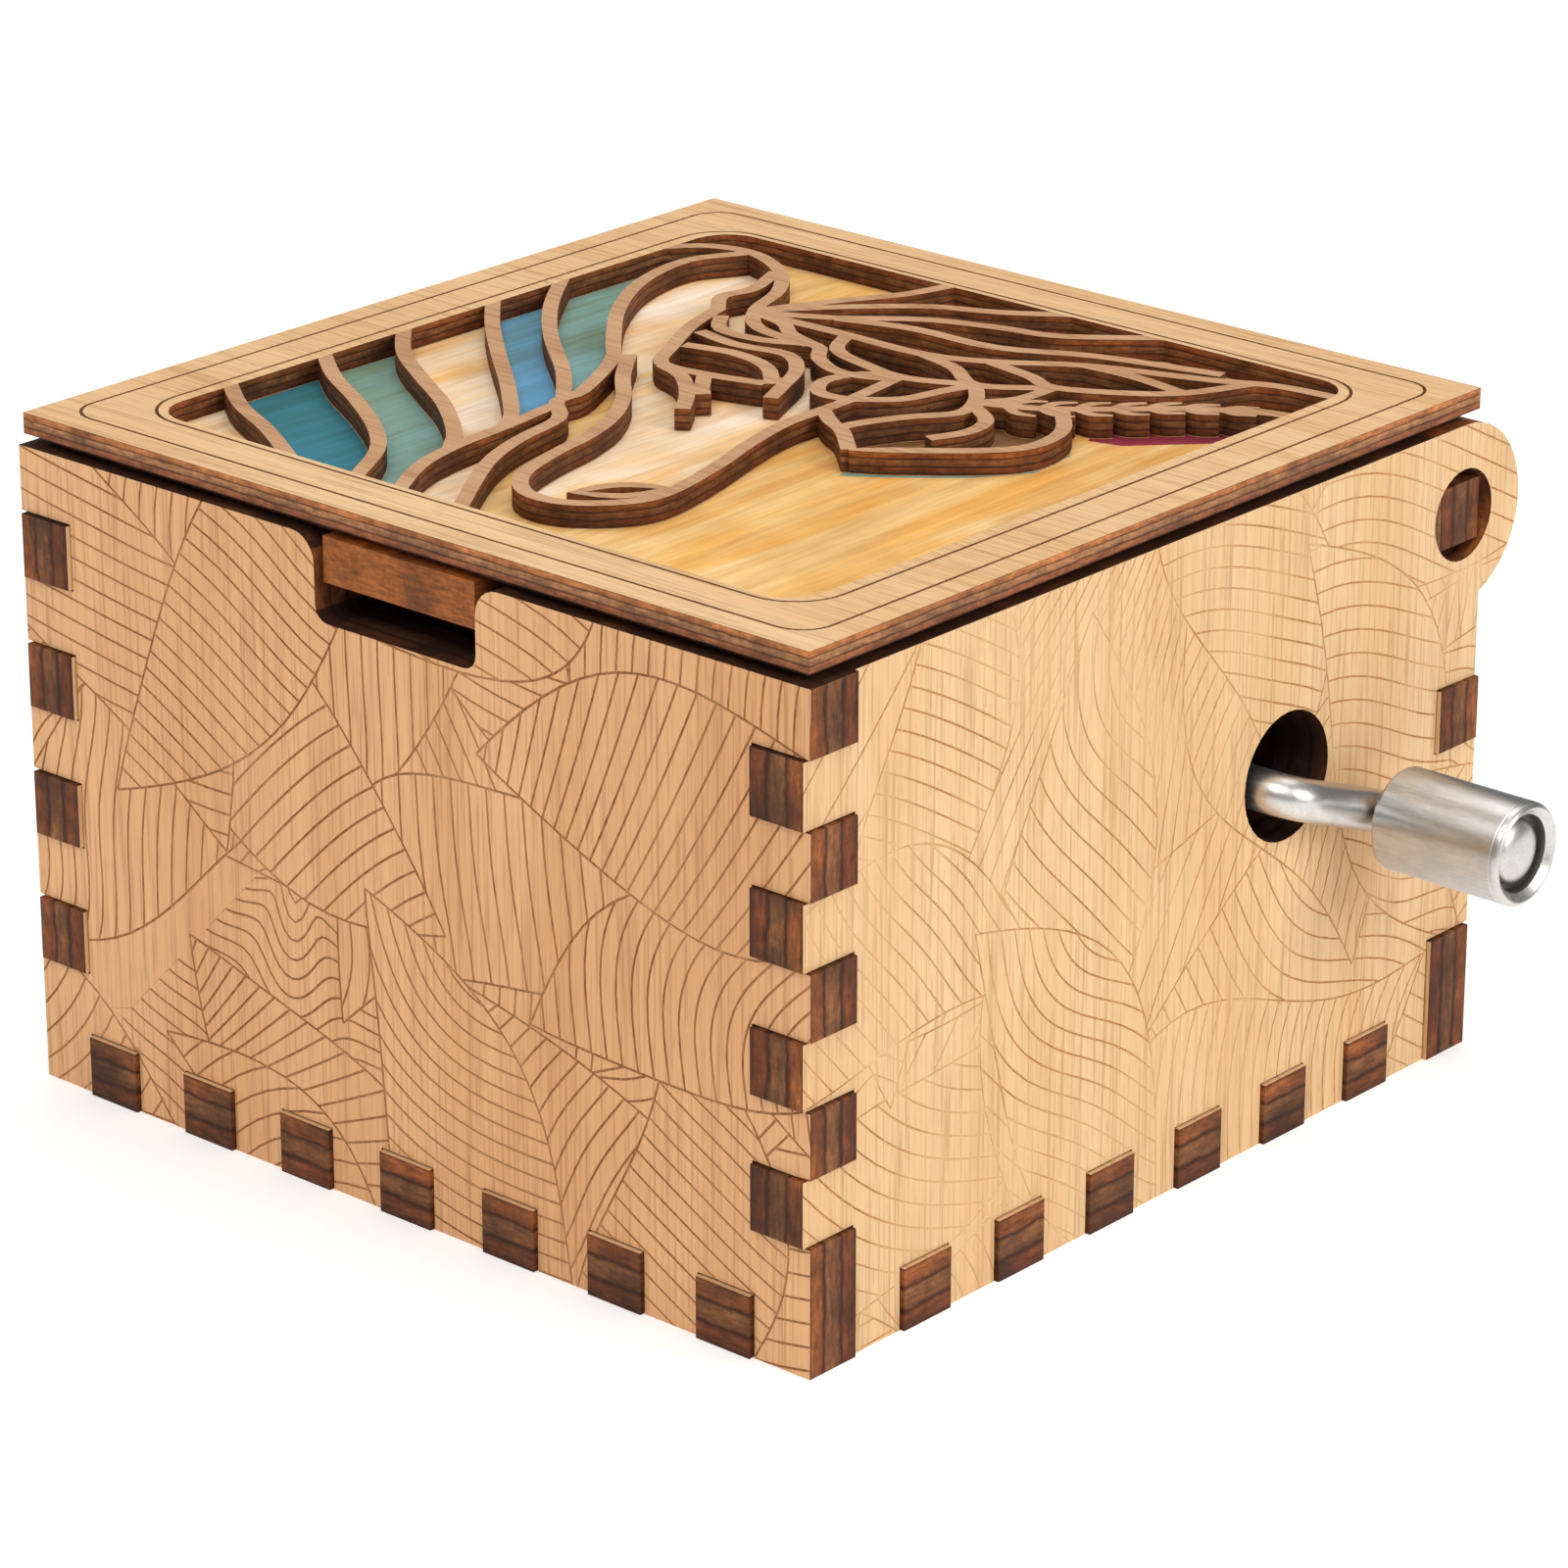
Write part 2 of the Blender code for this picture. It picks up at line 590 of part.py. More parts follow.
def make_lid():
    """The fretwork sheet, the painted sheet under it, the plate that drops into the case, the hinge bar."""
    lid = bpy.data.objects.new("lid_axis", None)
    PARTS.objects.link(lid)
    lid.matrix_world = placed(0, HINGE_Y, HINGE_Z)
    picture = rectangle(-HALF + PICTURE_MARGIN, HALF - PICTURE_MARGIN, SHEET_FRONT + PICTURE_MARGIN,
                        SHEET_REAR - 1.4)
    picture_part = add_part("lid_picture", flat_outline("lid_picture", [picture], PICTURE_HIGH - PICTURE_LOW),
                            "picture", placed(0, 0, (PICTURE_HIGH + PICTURE_LOW) / 2))
    plate_rear = INNER - KERF
    plate = [(-PLATE_HALF, -PLATE_HALF), (-TONGUE_HALF, -PLATE_HALF), (-TONGUE_HALF, TONGUE_FRONT),
             (TONGUE_HALF, TONGUE_FRONT), (TONGUE_HALF, -PLATE_HALF), (PLATE_HALF, -PLATE_HALF),
             (PLATE_HALF, plate_rear)]
    bar = [(-PLATE_HALF, WALL_HEIGHT), (-PLATE_HALF, HINGE_Z + PLY / 2), (-PEG_TIP, HINGE_Z + PLY / 2),
           (-PEG_TIP, BAR_LOW), (PEG_TIP, BAR_LOW), (PEG_TIP, HINGE_Z + PLY / 2),
           (PLATE_HALF, HINGE_Z + PLY / 2), (PLATE_HALF, WALL_HEIGHT)]
    for middle in reversed(HINGE_TABS):
        low, high = middle - HINGE_TAB_HALF, middle + HINGE_TAB_HALF
        plate += [(high, plate_rear), (high, HALF - KERF), (low, HALF - KERF), (low, plate_rear)]
        bar += [(high + KERF, WALL_HEIGHT), (high + KERF, PLATE_LOW - KERF), (low - KERF, PLATE_LOW - KERF),
                (low - KERF, WALL_HEIGHT)]
    plate.append((-PLATE_HALF, plate_rear))
    plate_part = add_part("lid_inner_plate", flat_outline("lid_inner_plate", [plate], WALL_HEIGHT - PLATE_LOW),
                          "ply", placed(0, 0, (WALL_HEIGHT + PLATE_LOW) / 2))
    bar_part = add_part("hinge_bar", flat_outline("hinge_bar", [bar], PLY), "ply",
                        placed(0, HINGE_Y, 0, ALONG_Y))
    for piece in (make_fretwork(), picture_part, plate_part, bar_part):
        place = piece.matrix_world.copy()
        piece.parent = lid
        piece.matrix_parent_inverse = lid.matrix_world.inverted()
        piece.matrix_world = place


def crank_route():
    """Centre line of the bent wire: shaft, arm and knob pin, with round bends."""
    out = Vector((0.0, math.cos(ARM_ANGLE), math.sin(ARM_ANGLE)))
    ahead = Vector((1.0, 0.0, 0.0))
    shaft = Vector((0.0, 0.0, 0.0))
    points = [shaft + ahead * (SHAFT_START - ARM_X)]
    first = shaft + (out - ahead) * BEND_RADIUS
    second = shaft + out * ARM_LENGTH + (ahead - out) * BEND_RADIUS
    for step in range(7):
        angle = math.radians(90 * step / 6)
        points.append(first - out * BEND_RADIUS * math.cos(angle) + ahead * BEND_RADIUS * math.sin(angle))
    for step in range(7):
        angle = math.radians(90 * step / 6)
        points.append(second - ahead * BEND_RADIUS * math.cos(angle) + out * BEND_RADIUS * math.sin(angle))
    points.append(shaft + out * ARM_LENGTH + ahead * (KNOB_END - 1.0 - ARM_X))
    return points


def knob_axis():
    """Y and Z of the knob pin's centre line."""
    return SHAFT_Y + ARM_LENGTH * math.cos(ARM_ANGLE), SHAFT_Z + ARM_LENGTH * math.sin(ARM_ANGLE)


def make_crank():
    """One bent wire, with a domed rivet head at its end that holds the knob on."""
    data = bpy.data.curves.new("crank_wire", "CURVE")
    data.dimensions = "3D"
    data.bevel_depth = WIRE * MM
    data.bevel_resolution = 4
    data.use_fill_caps = True
    spline = data.splines.new("POLY")
    route = crank_route()
    spline.points.add(len(route) - 1)
    for point, place in zip(spline.points, route, strict=True):
        point.co = (*(place * MM), 1.0)
    crank = add_part("crank", as_mesh(add_cutter("crank_wire", data)), "steel",
                     placed(ARM_X, SHAFT_Y, SHAFT_Z))
    crank.data.shade_smooth()
    crank.data.set_sharp_from_angle(angle=math.radians(40))
    seat = KNOB_END - RECESS_DEPTH + 0.1
    dome = [(0.0, 0.9), (0.7, 0.86), (1.4, 0.7), (1.85, 0.42), (RIVET_RADIUS, 0.1), (RIVET_RADIUS, 0.0),
            (0.0, 0.0)]
    y, z = knob_axis()
    head = add_cutter("rivet_head", turned_mesh("rivet_head", dome, 24), placed(seat, y, z, (0, 90, 0)))
    boolean(crank, head, "UNION")


def make_knob():
    """Turned sleeve that spins on the crank's pin, with a recess in its outer end."""
    length = KNOB_END - KNOB_START
    profile = [(RUNNING_BORE, 0.0), (KNOB_RADIUS - 0.35, 0.0), (KNOB_RADIUS, 0.3),
               (KNOB_RADIUS, length - 0.45), (KNOB_RADIUS - 0.25, length - 0.15),
               (KNOB_RADIUS - 0.45, length), (RECESS_RADIUS + 0.05, length), (RECESS_RADIUS, length - 0.2),
               (RECESS_RADIUS, length - RECESS_DEPTH), (RUNNING_BORE, length - RECESS_DEPTH)]
    y, z = knob_axis()
    add_part("knob", turned_mesh("knob", profile, 40), "steel", placed(KNOB_START, y, z, (0, 90, 0)))


def ring_profile(bore, radius, length):
    return [(bore, 0.0), (radius - 0.2, 0.0), (radius, 0.2), (radius, length - 0.2), (radius - 0.2, length),
            (bore, length)]


def thread_depth(offset):
    """0 at the root and 1 at the crest of a ridge, for a distance along the axis from a crest's middle."""
    off = abs((offset + THREAD_PITCH / 2) % THREAD_PITCH - THREAD_PITCH / 2)
    flat, foot = 0.3 * THREAD_WIDTH, 0.75 * THREAD_WIDTH
    return min(1.0, max(0.0, (foot - off) / (foot - flat)))


def make_worm():
    """Right-hand worm on the crank's shaft; its ridges sit between the wheel's teeth."""
    phase = THREAD_PITCH * 0.75
    count = 34
    rows = []
    for number in range(count + 1):
        height = WORM_HALF_LENGTH * (2 * number / count - 1)
        fade = min(1.0, (WORM_HALF_LENGTH - abs(height)) / 0.5)

        def radius_at(angle, height=height, fade=fade):
            # The ring's own angle runs from -Z towards +Y, a quarter turn behind the thread's angle.
            shift = THREAD_PITCH * (angle - math.pi / 2) / (2 * math.pi)
            return WORM_ROOT + (WORM_OUTER - WORM_ROOT) * fade * thread_depth(height - phase - shift)

        rows.append((height, radius_at, 0.0))
    rows += [(WORM_HALF_LENGTH, lambda angle: WIRE + 0.1, 0.0), (-WORM_HALF_LENGTH, lambda angle: WIRE + 0.1, 0.0)]
    add_part("drive_worm", wrapped_mesh("drive_worm", 20, rows), "brass",
             placed(DRUM_X, SHAFT_Y, SHAFT_Z, (0, 90, 0)))


def wheel_radius(angle):
    """Outline of the worm wheel: trapezoid teeth, the first one centred on angle 0."""
    pitch = 2 * math.pi / WHEEL_TEETH
    off = abs((angle + pitch / 2) % pitch - pitch / 2) * WHEEL_PITCH
    crest, foot = 0.22, 0.72
    share = min(1.0, max(0.0, (foot - off) / (foot - crest)))
    return WHEEL_ROOT + (WHEEL_OUTER - WHEEL_ROOT) * share


def make_wheel():
    """Worm wheel with slanted teeth that follow the thread's lead angle."""
    slant = THREAD_PITCH / (2 * math.pi * WORM_PITCH_RADIUS) / WHEEL_PITCH
    rows = []
    for share in (-1.0, 0.0, 1.0):
        height = WHEEL_HALF_WIDTH * share
        rows.append((height, wheel_radius, -slant * height))
    for share in (1.0, -1.0):
        height = WHEEL_HALF_WIDTH * share
        rows.append((height, lambda angle: ARBOR + 0.1, -slant * height))
    # The ring's angle 0 points up at +Z, and its height runs towards +Y.
    turn = Matrix(((0, 1, 0, 0), (0, 0, 1, 0), (1, 0, 0, 0), (0, 0, 0, 1)))
    place = Matrix.Translation(Vector((DRUM_X, SHAFT_Y, DRUM_Z)) * MM) @ turn
    add_part("worm_wheel", wrapped_mesh("worm_wheel", WHEEL_TEETH * 8, rows), "brass", place)


def make_drum():
    """Pinned cylinder: shell, two end caps and the arbor that runs in the bearings."""
    to_y = (-90, 0, 0)
    length = DRUM_REAR - DRUM_FRONT
    inner = DRUM_RADIUS - DRUM_SKIN
    shell = [(inner, 0.0), (DRUM_RADIUS, 0.0), (DRUM_RADIUS, length), (inner, length)]
    add_part("drum_shell", turned_mesh("drum_shell", shell, 48), "brass", placed(DRUM_X, DRUM_FRONT, DRUM_Z, to_y))
    cap = [(ARBOR + 0.1, 0.0), (inner - 0.1, 0.0), (inner - 0.1, 1.4), (2.6, 1.4), (2.4, 0.7), (ARBOR + 0.1, 0.7)]
    cap_mesh = turned_mesh("drum_cap", cap, 32)
    add_part("drum_front_cap", cap_mesh, "brass", placed(DRUM_X, DRUM_FRONT + 1.5, DRUM_Z, (90, 0, 0)))
    add_part("drum_rear_cap", cap_mesh.copy(), "brass", placed(DRUM_X, DRUM_REAR - 1.5, DRUM_Z, to_y))
    arbor = [(0.0, 0.0), (ARBOR - 0.2, 0.0), (ARBOR, 0.2), (ARBOR, 2 * ARBOR_END - 0.2),
             (ARBOR - 0.2, 2 * ARBOR_END), (0.0, 2 * ARBOR_END)]
    add_part("drum_arbor", turned_mesh("drum_arbor", arbor, 24), "comb_steel",
             placed(DRUM_X, -ARBOR_END, DRUM_Z, to_y))


def screw_mesh(name, head_radius, head_height, length):
    """Pan head screw, its head on top of height 0 and its shank below."""
    profile = [(0.0, head_height), (head_radius * 0.7, head_height), (head_radius, head_height * 0.55),
               (head_radius, 0.0), (SCREW_SHANK, 0.0), (SCREW_SHANK, 0.3 - length), (0.5, -length), (0.0, -length)]
    return turned_mesh(name, profile, 20)


def add_screw(name, place, head_radius, head_height, length):
    """A slotted pan head screw."""
    screw = add_part(name, screw_mesh(name, head_radius, head_height, length), "steel", place)
    slot = box_mesh("slot", (-3.0, -0.22, head_height - 0.5), (3.0, 0.22, head_height + 1.0))
    boolean(screw, add_cutter(f"{name}_slot", slot, place))


def add_base_screw(name, x, y):
    """Countersunk cross-head wood screw, driven up through the base into the bedplate."""
    place = placed(x, y, BASE_SCREW_RECESS)
    top = BOSS_HIGH - 0.8 - BASE_SCREW_RECESS
    profile = [(0.0, 0.0), (BASE_SCREW_HEAD, 0.0), (BASE_SCREW_HEAD, 0.15), (SCREW_SHANK, 1.5),
               (SCREW_SHANK, top - 0.6), (0.3, top), (0.0, top)]
    screw = add_part(name, turned_mesh(name, profile, 24), "steel", place)
    for turn in (45, 135):
        blade = box_mesh("cross", (-1.3, -0.24, -1.0), (1.3, 0.24, 0.8))
        cross = place @ Matrix.Rotation(math.radians(turn), 4, "Z")
        boolean(screw, add_cutter(f"{name}_cross_{turn}", blade, cross))


def make_bedplate():
    """Cast plate that carries the movement, with the comb's ridge and the screw bosses."""
    low_x, high_x, low_y, high_y = BED
    outline = rounded_rectangle(((low_x + high_x) / 2, (low_y + high_y) / 2), (high_x - low_x) / 2,
                                (high_y - low_y) / 2, 3.0, 4)
    bed = add_part("bedplate", flat_mesh("bed_sheet", [outline], BED_HIGH - BED_LOW), "zinc",
                   placed(0, 0, (BED_LOW + BED_HIGH) / 2))
    ridge = box_mesh("comb_ridge", (RIDGE[0], RIDGE[2], BED_LOW + 0.5), (RIDGE[1], RIDGE[3], RIDGE_HIGH))
    boolean(bed, add_cutter("comb_ridge", ridge), "UNION")
    boss = [(0.0, BOSS_HIGH), (BOSS_RADIUS - 0.3, BOSS_HIGH), (BOSS_RADIUS, BED_LOW + 0.5), (0.0, BED_LOW + 0.5)]
    for number, (x, y) in enumerate(BASE_SCREWS, 1):
        boolean(bed, add_cutter(f"boss_{number}", turned_mesh("boss", boss, 20), placed(x, y, 0)), "UNION")
    drill = [(0.0, 0.0), (SCREW_HOLE, 0.0), (SCREW_HOLE, -6.0), (0.0, -6.0)]
    holes = [(x, y, BOSS_HIGH - 0.5) for x, y in BASE_SCREWS]
    holes += [(COMB_SCREW_X, y, RIDGE_HIGH + 1.0) for y in COMB_SCREWS]
    holes += [(x, y, BED_HIGH + 3.0) for x, y in foot_screws()]
    for number, (x, y, z) in enumerate(holes, 1):
        boolean(bed, add_cutter(f"bed_hole_{number}", turned_mesh("bed_hole", drill, 16), placed(x, y, z)))


def foot_screws():
    """Where the four bracket screws stand."""
    reach = BRACKET / 2 + FOOT_LENGTH / 2
    return ((DRUM_X, -BEARING_Y - reach), (DRUM_X, BEARING_Y + reach), (SADDLE_X[0] - reach, SHAFT_Y),
            (SADDLE_X[1] + reach, SHAFT_Y))


def make_comb():
    """Steel comb: a plate with tuned teeth whose tips end just short of the drum's pins."""
    low_y, high_y = RIDGE[2], RIDGE[3]
    pitch = (high_y - low_y) / COMB_TEETH
    outline = [(COMB_BACK, low_y)]
    for tooth in range(COMB_TEETH):
        share = tooth / (COMB_TEETH - 1)
        root = COMB_ROOTS[0] + (COMB_ROOTS[1] - COMB_ROOTS[0]) * share
        start = low_y + tooth * pitch
        end = start + pitch
        if tooth:
            outline.append((root, start + COMB_SLOT / 2))
            start += COMB_SLOT / 2
        outline.append((COMB_TIP, start))
        if tooth < COMB_TEETH - 1:
            end -= COMB_SLOT / 2
        outline.append((COMB_TIP, end))
        if tooth < COMB_TEETH - 1:
            outline.append((root, end))
    outline.append((COMB_BACK, high_y))
    holes = [circle((COMB_SCREW_X, y), 1.2, 20) for y in COMB_SCREWS]
    add_part("comb", flat_outline("comb", [outline, *holes], COMB_HIGH - COMB_LOW), "comb_steel",
             placed(0, 0, (COMB_LOW + COMB_HIGH) / 2))
    for number, y in enumerate(COMB_SCREWS, 1):
        add_screw(f"comb_screw_{number}", placed(COMB_SCREW_X, y, COMB_HIGH + 0.1, (0, 0, 40 * number)),
                  SCREW_HEAD, 1.3, 4.5)


def make_bearing(name, y, side):
    """Upright bearing of the drum's arbor, with a foot that is screwed down."""
    foot_low = BED_HIGH + 0.1
    outline = [(DRUM_X - 4.0, foot_low), (DRUM_X + 4.0, foot_low), (DRUM_X + 4.0, foot_low + 2.5)]
    outline += arc((DRUM_X, DRUM_Z), 2.8, 0, 180, 12)
    outline.append((DRUM_X - 4.0, foot_low + 2.5))
    bearing = add_part(name, flat_mesh(name, [outline, circle((DRUM_X, DRUM_Z), ARBOR_BORE, 24)], BRACKET), "zinc",
                       placed(0, y, 0, ALONG_Y))
    near, far = sorted((y, y + side * (BRACKET / 2 + FOOT_LENGTH)))
    foot = box_mesh("foot", (DRUM_X - 4.0, near, foot_low), (DRUM_X + 4.0, far, foot_low + FOOT))
    boolean(bearing, add_cutter(f"{name}_foot", foot), "UNION")
    return bearing


def make_bearings():
    """The two drum bearings and the saddle that holds the crank's shaft over the wheel."""
    foot_low = BED_HIGH + 0.1
    front = make_bearing("front_bearing", -BEARING_Y, -1)
    rear = make_bearing("rear_bearing", BEARING_Y, 1)
    left, right = SADDLE_X
    half = BRACKET / 2
    reach = half + FOOT_LENGTH
    outline = [(left - reach, foot_low), (left + half, foot_low), (left + half, SADDLE_TOP - BRACKET),
               (right - half, SADDLE_TOP - BRACKET), (right - half, foot_low), (right + reach, foot_low),
               (right + reach, foot_low + FOOT), (right + half, foot_low + FOOT), (right + half, SADDLE_TOP - 1.0),
               (right + half - 1.0, SADDLE_TOP), (left - half + 1.0, SADDLE_TOP), (left - half, SADDLE_TOP - 1.0),
               (left - half, foot_low + FOOT), (left - reach, foot_low + FOOT)]
    saddle = add_part("shaft_saddle", flat_mesh("saddle", [outline], 2 * SADDLE_HALF_WIDTH), "zinc",
                      placed(0, SHAFT_Y, 0, ALONG_Y))
    bore = [(0.0, 30.0), (RUNNING_BORE, 30.0), (RUNNING_BORE, -10.0), (0.0, -10.0)]
    boolean(saddle, add_cutter("saddle_bore", turned_mesh("saddle_bore", bore, 24),
                               placed(0, SHAFT_Y, SHAFT_Z, (0, 90, 0))))
    drill = [(0.0, 3.0), (SCREW_HOLE, 3.0), (SCREW_HOLE, -3.0), (0.0, -3.0)]
    owners = (front, rear, saddle, saddle)
    names = ("front_bearing_screw", "rear_bearing_screw", "saddle_screw_left", "saddle_screw_right")
    for owner, name, (x, y) in zip(owners, names, foot_screws(), strict=True):
        boolean(owner, add_cutter(f"{name}_hole", turned_mesh("foot_hole", drill, 16), placed(x, y, foot_low)))
        add_screw(name, placed(x, y, foot_low + FOOT + 0.1, (0, 0, 25)), 1.6, 1.0, 3.0)


def make_movement():
    make_bedplate()
    make_comb()
    make_drum()
    make_wheel()
    make_bearings()
    make_worm()
    collar = turned_mesh("shaft_collar", ring_profile(WIRE + 0.1, 2.7, 2.0), 28)
    add_part("shaft_collar", collar, "steel", placed(13.4, SHAFT_Y, SHAFT_Z, (0, 90, 0)))
    clip = turned_mesh("shaft_clip", ring_profile(WIRE + 0.1, 2.4, 0.8), 28)
    add_part("shaft_clip", clip, "steel", placed(-2.6, SHAFT_Y, SHAFT_Z, (0, 90, 0)))


clear_scene()
PARTS = new_collection("hand_crank_music_box")
CUTTERS = new_collection("cutters")
make_base()
make_front_wall()
make_back_wall()
make_side_wall("left_panel", -HALF + PLY / 2, [])
make_side_wall("right_panel", HALF - PLY / 2, [circle(CRANK_HOLE, CRANK_HOLE_RADIUS, 36)])
make_lid()
make_movement()
make_crank()
make_knob()
for number, (screw_x, screw_y) in enumerate(BASE_SCREWS, 1):
    add_base_screw(f"base_screw_{number}", screw_x, screw_y)
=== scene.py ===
"""Looks of the hand crank music box: engraved plywood, laser-cut edges, painted lid, plated crank."""

import json
import math
import random

import bmesh
import bpy
from mathutils import Matrix, Vector
from mathutils.geometry import delaunay_2d_cdt


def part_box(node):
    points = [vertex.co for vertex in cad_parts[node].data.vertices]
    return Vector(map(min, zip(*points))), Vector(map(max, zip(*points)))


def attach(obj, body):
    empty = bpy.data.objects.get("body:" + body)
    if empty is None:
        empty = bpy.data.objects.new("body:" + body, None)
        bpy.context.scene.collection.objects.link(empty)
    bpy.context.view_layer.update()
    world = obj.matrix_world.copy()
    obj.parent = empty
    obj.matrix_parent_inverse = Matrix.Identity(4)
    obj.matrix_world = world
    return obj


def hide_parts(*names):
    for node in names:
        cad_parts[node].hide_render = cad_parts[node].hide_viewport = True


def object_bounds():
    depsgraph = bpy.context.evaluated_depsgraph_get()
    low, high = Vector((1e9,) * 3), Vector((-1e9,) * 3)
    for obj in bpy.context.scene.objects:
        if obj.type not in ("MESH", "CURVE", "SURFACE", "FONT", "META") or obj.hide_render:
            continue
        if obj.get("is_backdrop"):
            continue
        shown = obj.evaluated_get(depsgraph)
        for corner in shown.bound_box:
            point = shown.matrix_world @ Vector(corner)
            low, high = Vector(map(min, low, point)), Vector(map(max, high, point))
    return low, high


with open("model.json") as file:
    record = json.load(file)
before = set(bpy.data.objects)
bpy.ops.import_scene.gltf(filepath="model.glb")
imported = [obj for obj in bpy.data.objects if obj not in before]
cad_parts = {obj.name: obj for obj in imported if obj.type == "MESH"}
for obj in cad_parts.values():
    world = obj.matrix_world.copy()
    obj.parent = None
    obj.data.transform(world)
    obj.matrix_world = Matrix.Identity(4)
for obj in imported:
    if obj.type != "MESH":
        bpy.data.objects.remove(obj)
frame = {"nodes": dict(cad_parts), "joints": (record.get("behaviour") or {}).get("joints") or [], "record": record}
CAD_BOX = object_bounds()

MM = 0.001

# Engraving, in millimetres
LINE_DEPTH = 0.06
FRAME_LINE = (0.22, 0.12)  # width and depth of the two lines in the lid's frame
FRAME_INSETS = ((1.85, 2.2), (4.7, 3.6))  # how far in from the lid's rim each one runs, and its corner radius
LINE_GAP = 1.4
FINE_STEP = 0.5  # distance between the points of a line before it is thinned
SHORTEST_RUN = 0.8
WAVE_LAYERS = ((2, 2, 92.0, 46.0), (3, 3, 48.0, 24.0), (4, 3, 38.0, 14.0))  # columns, rows, length, width
GROUND_LENGTH = 70.0  # waves longer than this lie under the others and leave no stretch of wall plain
SHOWN_SHARE = 0.30  # other waves are left out if less of them than this is to be seen

FACE, LINE, EDGE, PICKED, INNER = range(5)  # the materials of an engraved sheet, in their order
SHADE_EDGE_START = 36.0  # upward edges above this height, under the lid, are darkened as painted shade
TONGUE_HEIGHT = 39.0  # the inner plate's tongue, which fills the front wall's notch, lies above this
LUG_REACH = 5.0  # the lugs round the hinge start this far in front of its axis
CRANK_HOLE = (12.4, 24.1, 4.3)  # its middle along Y and Z, and a little more than its radius
WINDOW = (-0.25, 26.35, 2.7)  # middle, half width and corner radius of the lid's window, where the strips lie

# Crank, knob and drum, in millimetres
WIRE = 1.35
BEND_RADIUS = 1.9
RIVET_RADIUS = 2.1
KNOB_BORE = 1.43
KNOB_RECESS = (2.5, 1.2)  # radius and depth of the hollow in the knob's outer end
PIN_RADIUS = 0.17
PIN_RISE = 0.45
PIN_ROOT = 0.2  # how deep a pin stands in the drum's shell
TEETH = 18
BEATS = 40  # places for a pin round the drum
PINS_PER_TOOTH = (5, 9)

AXES = {"x": 0, "y": 1, "z": 2}
GRAIN = {"x": (0.0, 0.0, 0.0), "y": (0.0, 0.0, math.radians(-90)), "z": (0.0, math.radians(90), 0.0)}
JOINTS = {joint["name"]: joint for joint in frame["joints"]}
SLOTS = {entry["node"]: entry["material_slot"] for entry in frame["record"]["subparts"]}
BODIES = {node: body for body, nodes in frame["record"]["behaviour"]["bodies"].items() for node in nodes}
PAINTS = {
    "blue": (0.125, 0.34, 0.50),
    "deep": (0.028, 0.20, 0.265),
    "teal": (0.21, 0.38, 0.34),
    "cream": (0.94, 0.69, 0.44),
    "orange": (0.84, 0.51, 0.18),
    "amber": (0.66, 0.36, 0.10),
    "yellow": (0.80, 0.54, 0.17),
    "rose": (0.27, 0.025, 0.06),
    "umber": (0.22, 0.10, 0.035),
    "bare": (0.70, 0.47, 0.27),
}
BARE_BIRCH = ((0.74, 0.47, 0.25), (0.67, 0.39, 0.19))  # pale and warm colour where the wood is not engraved


def millimetres(corner):
    return Vector(corner) / MM


def node_box(node):
    """Lowest and highest corner of a CAD node, in millimetres."""
    low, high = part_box(node)
    return millimetres(low), millimetres(high)


def merged_copy(node):
    """A bmesh of a CAD node with its loose triangles joined up."""
    bm = bmesh.new()
    bm.from_mesh(frame["nodes"][node].data)
    bmesh.ops.remove_doubles(bm, verts=bm.verts, dist=0.002 * MM)
    return bm


# ---------------------------------------------------------------- shader groups


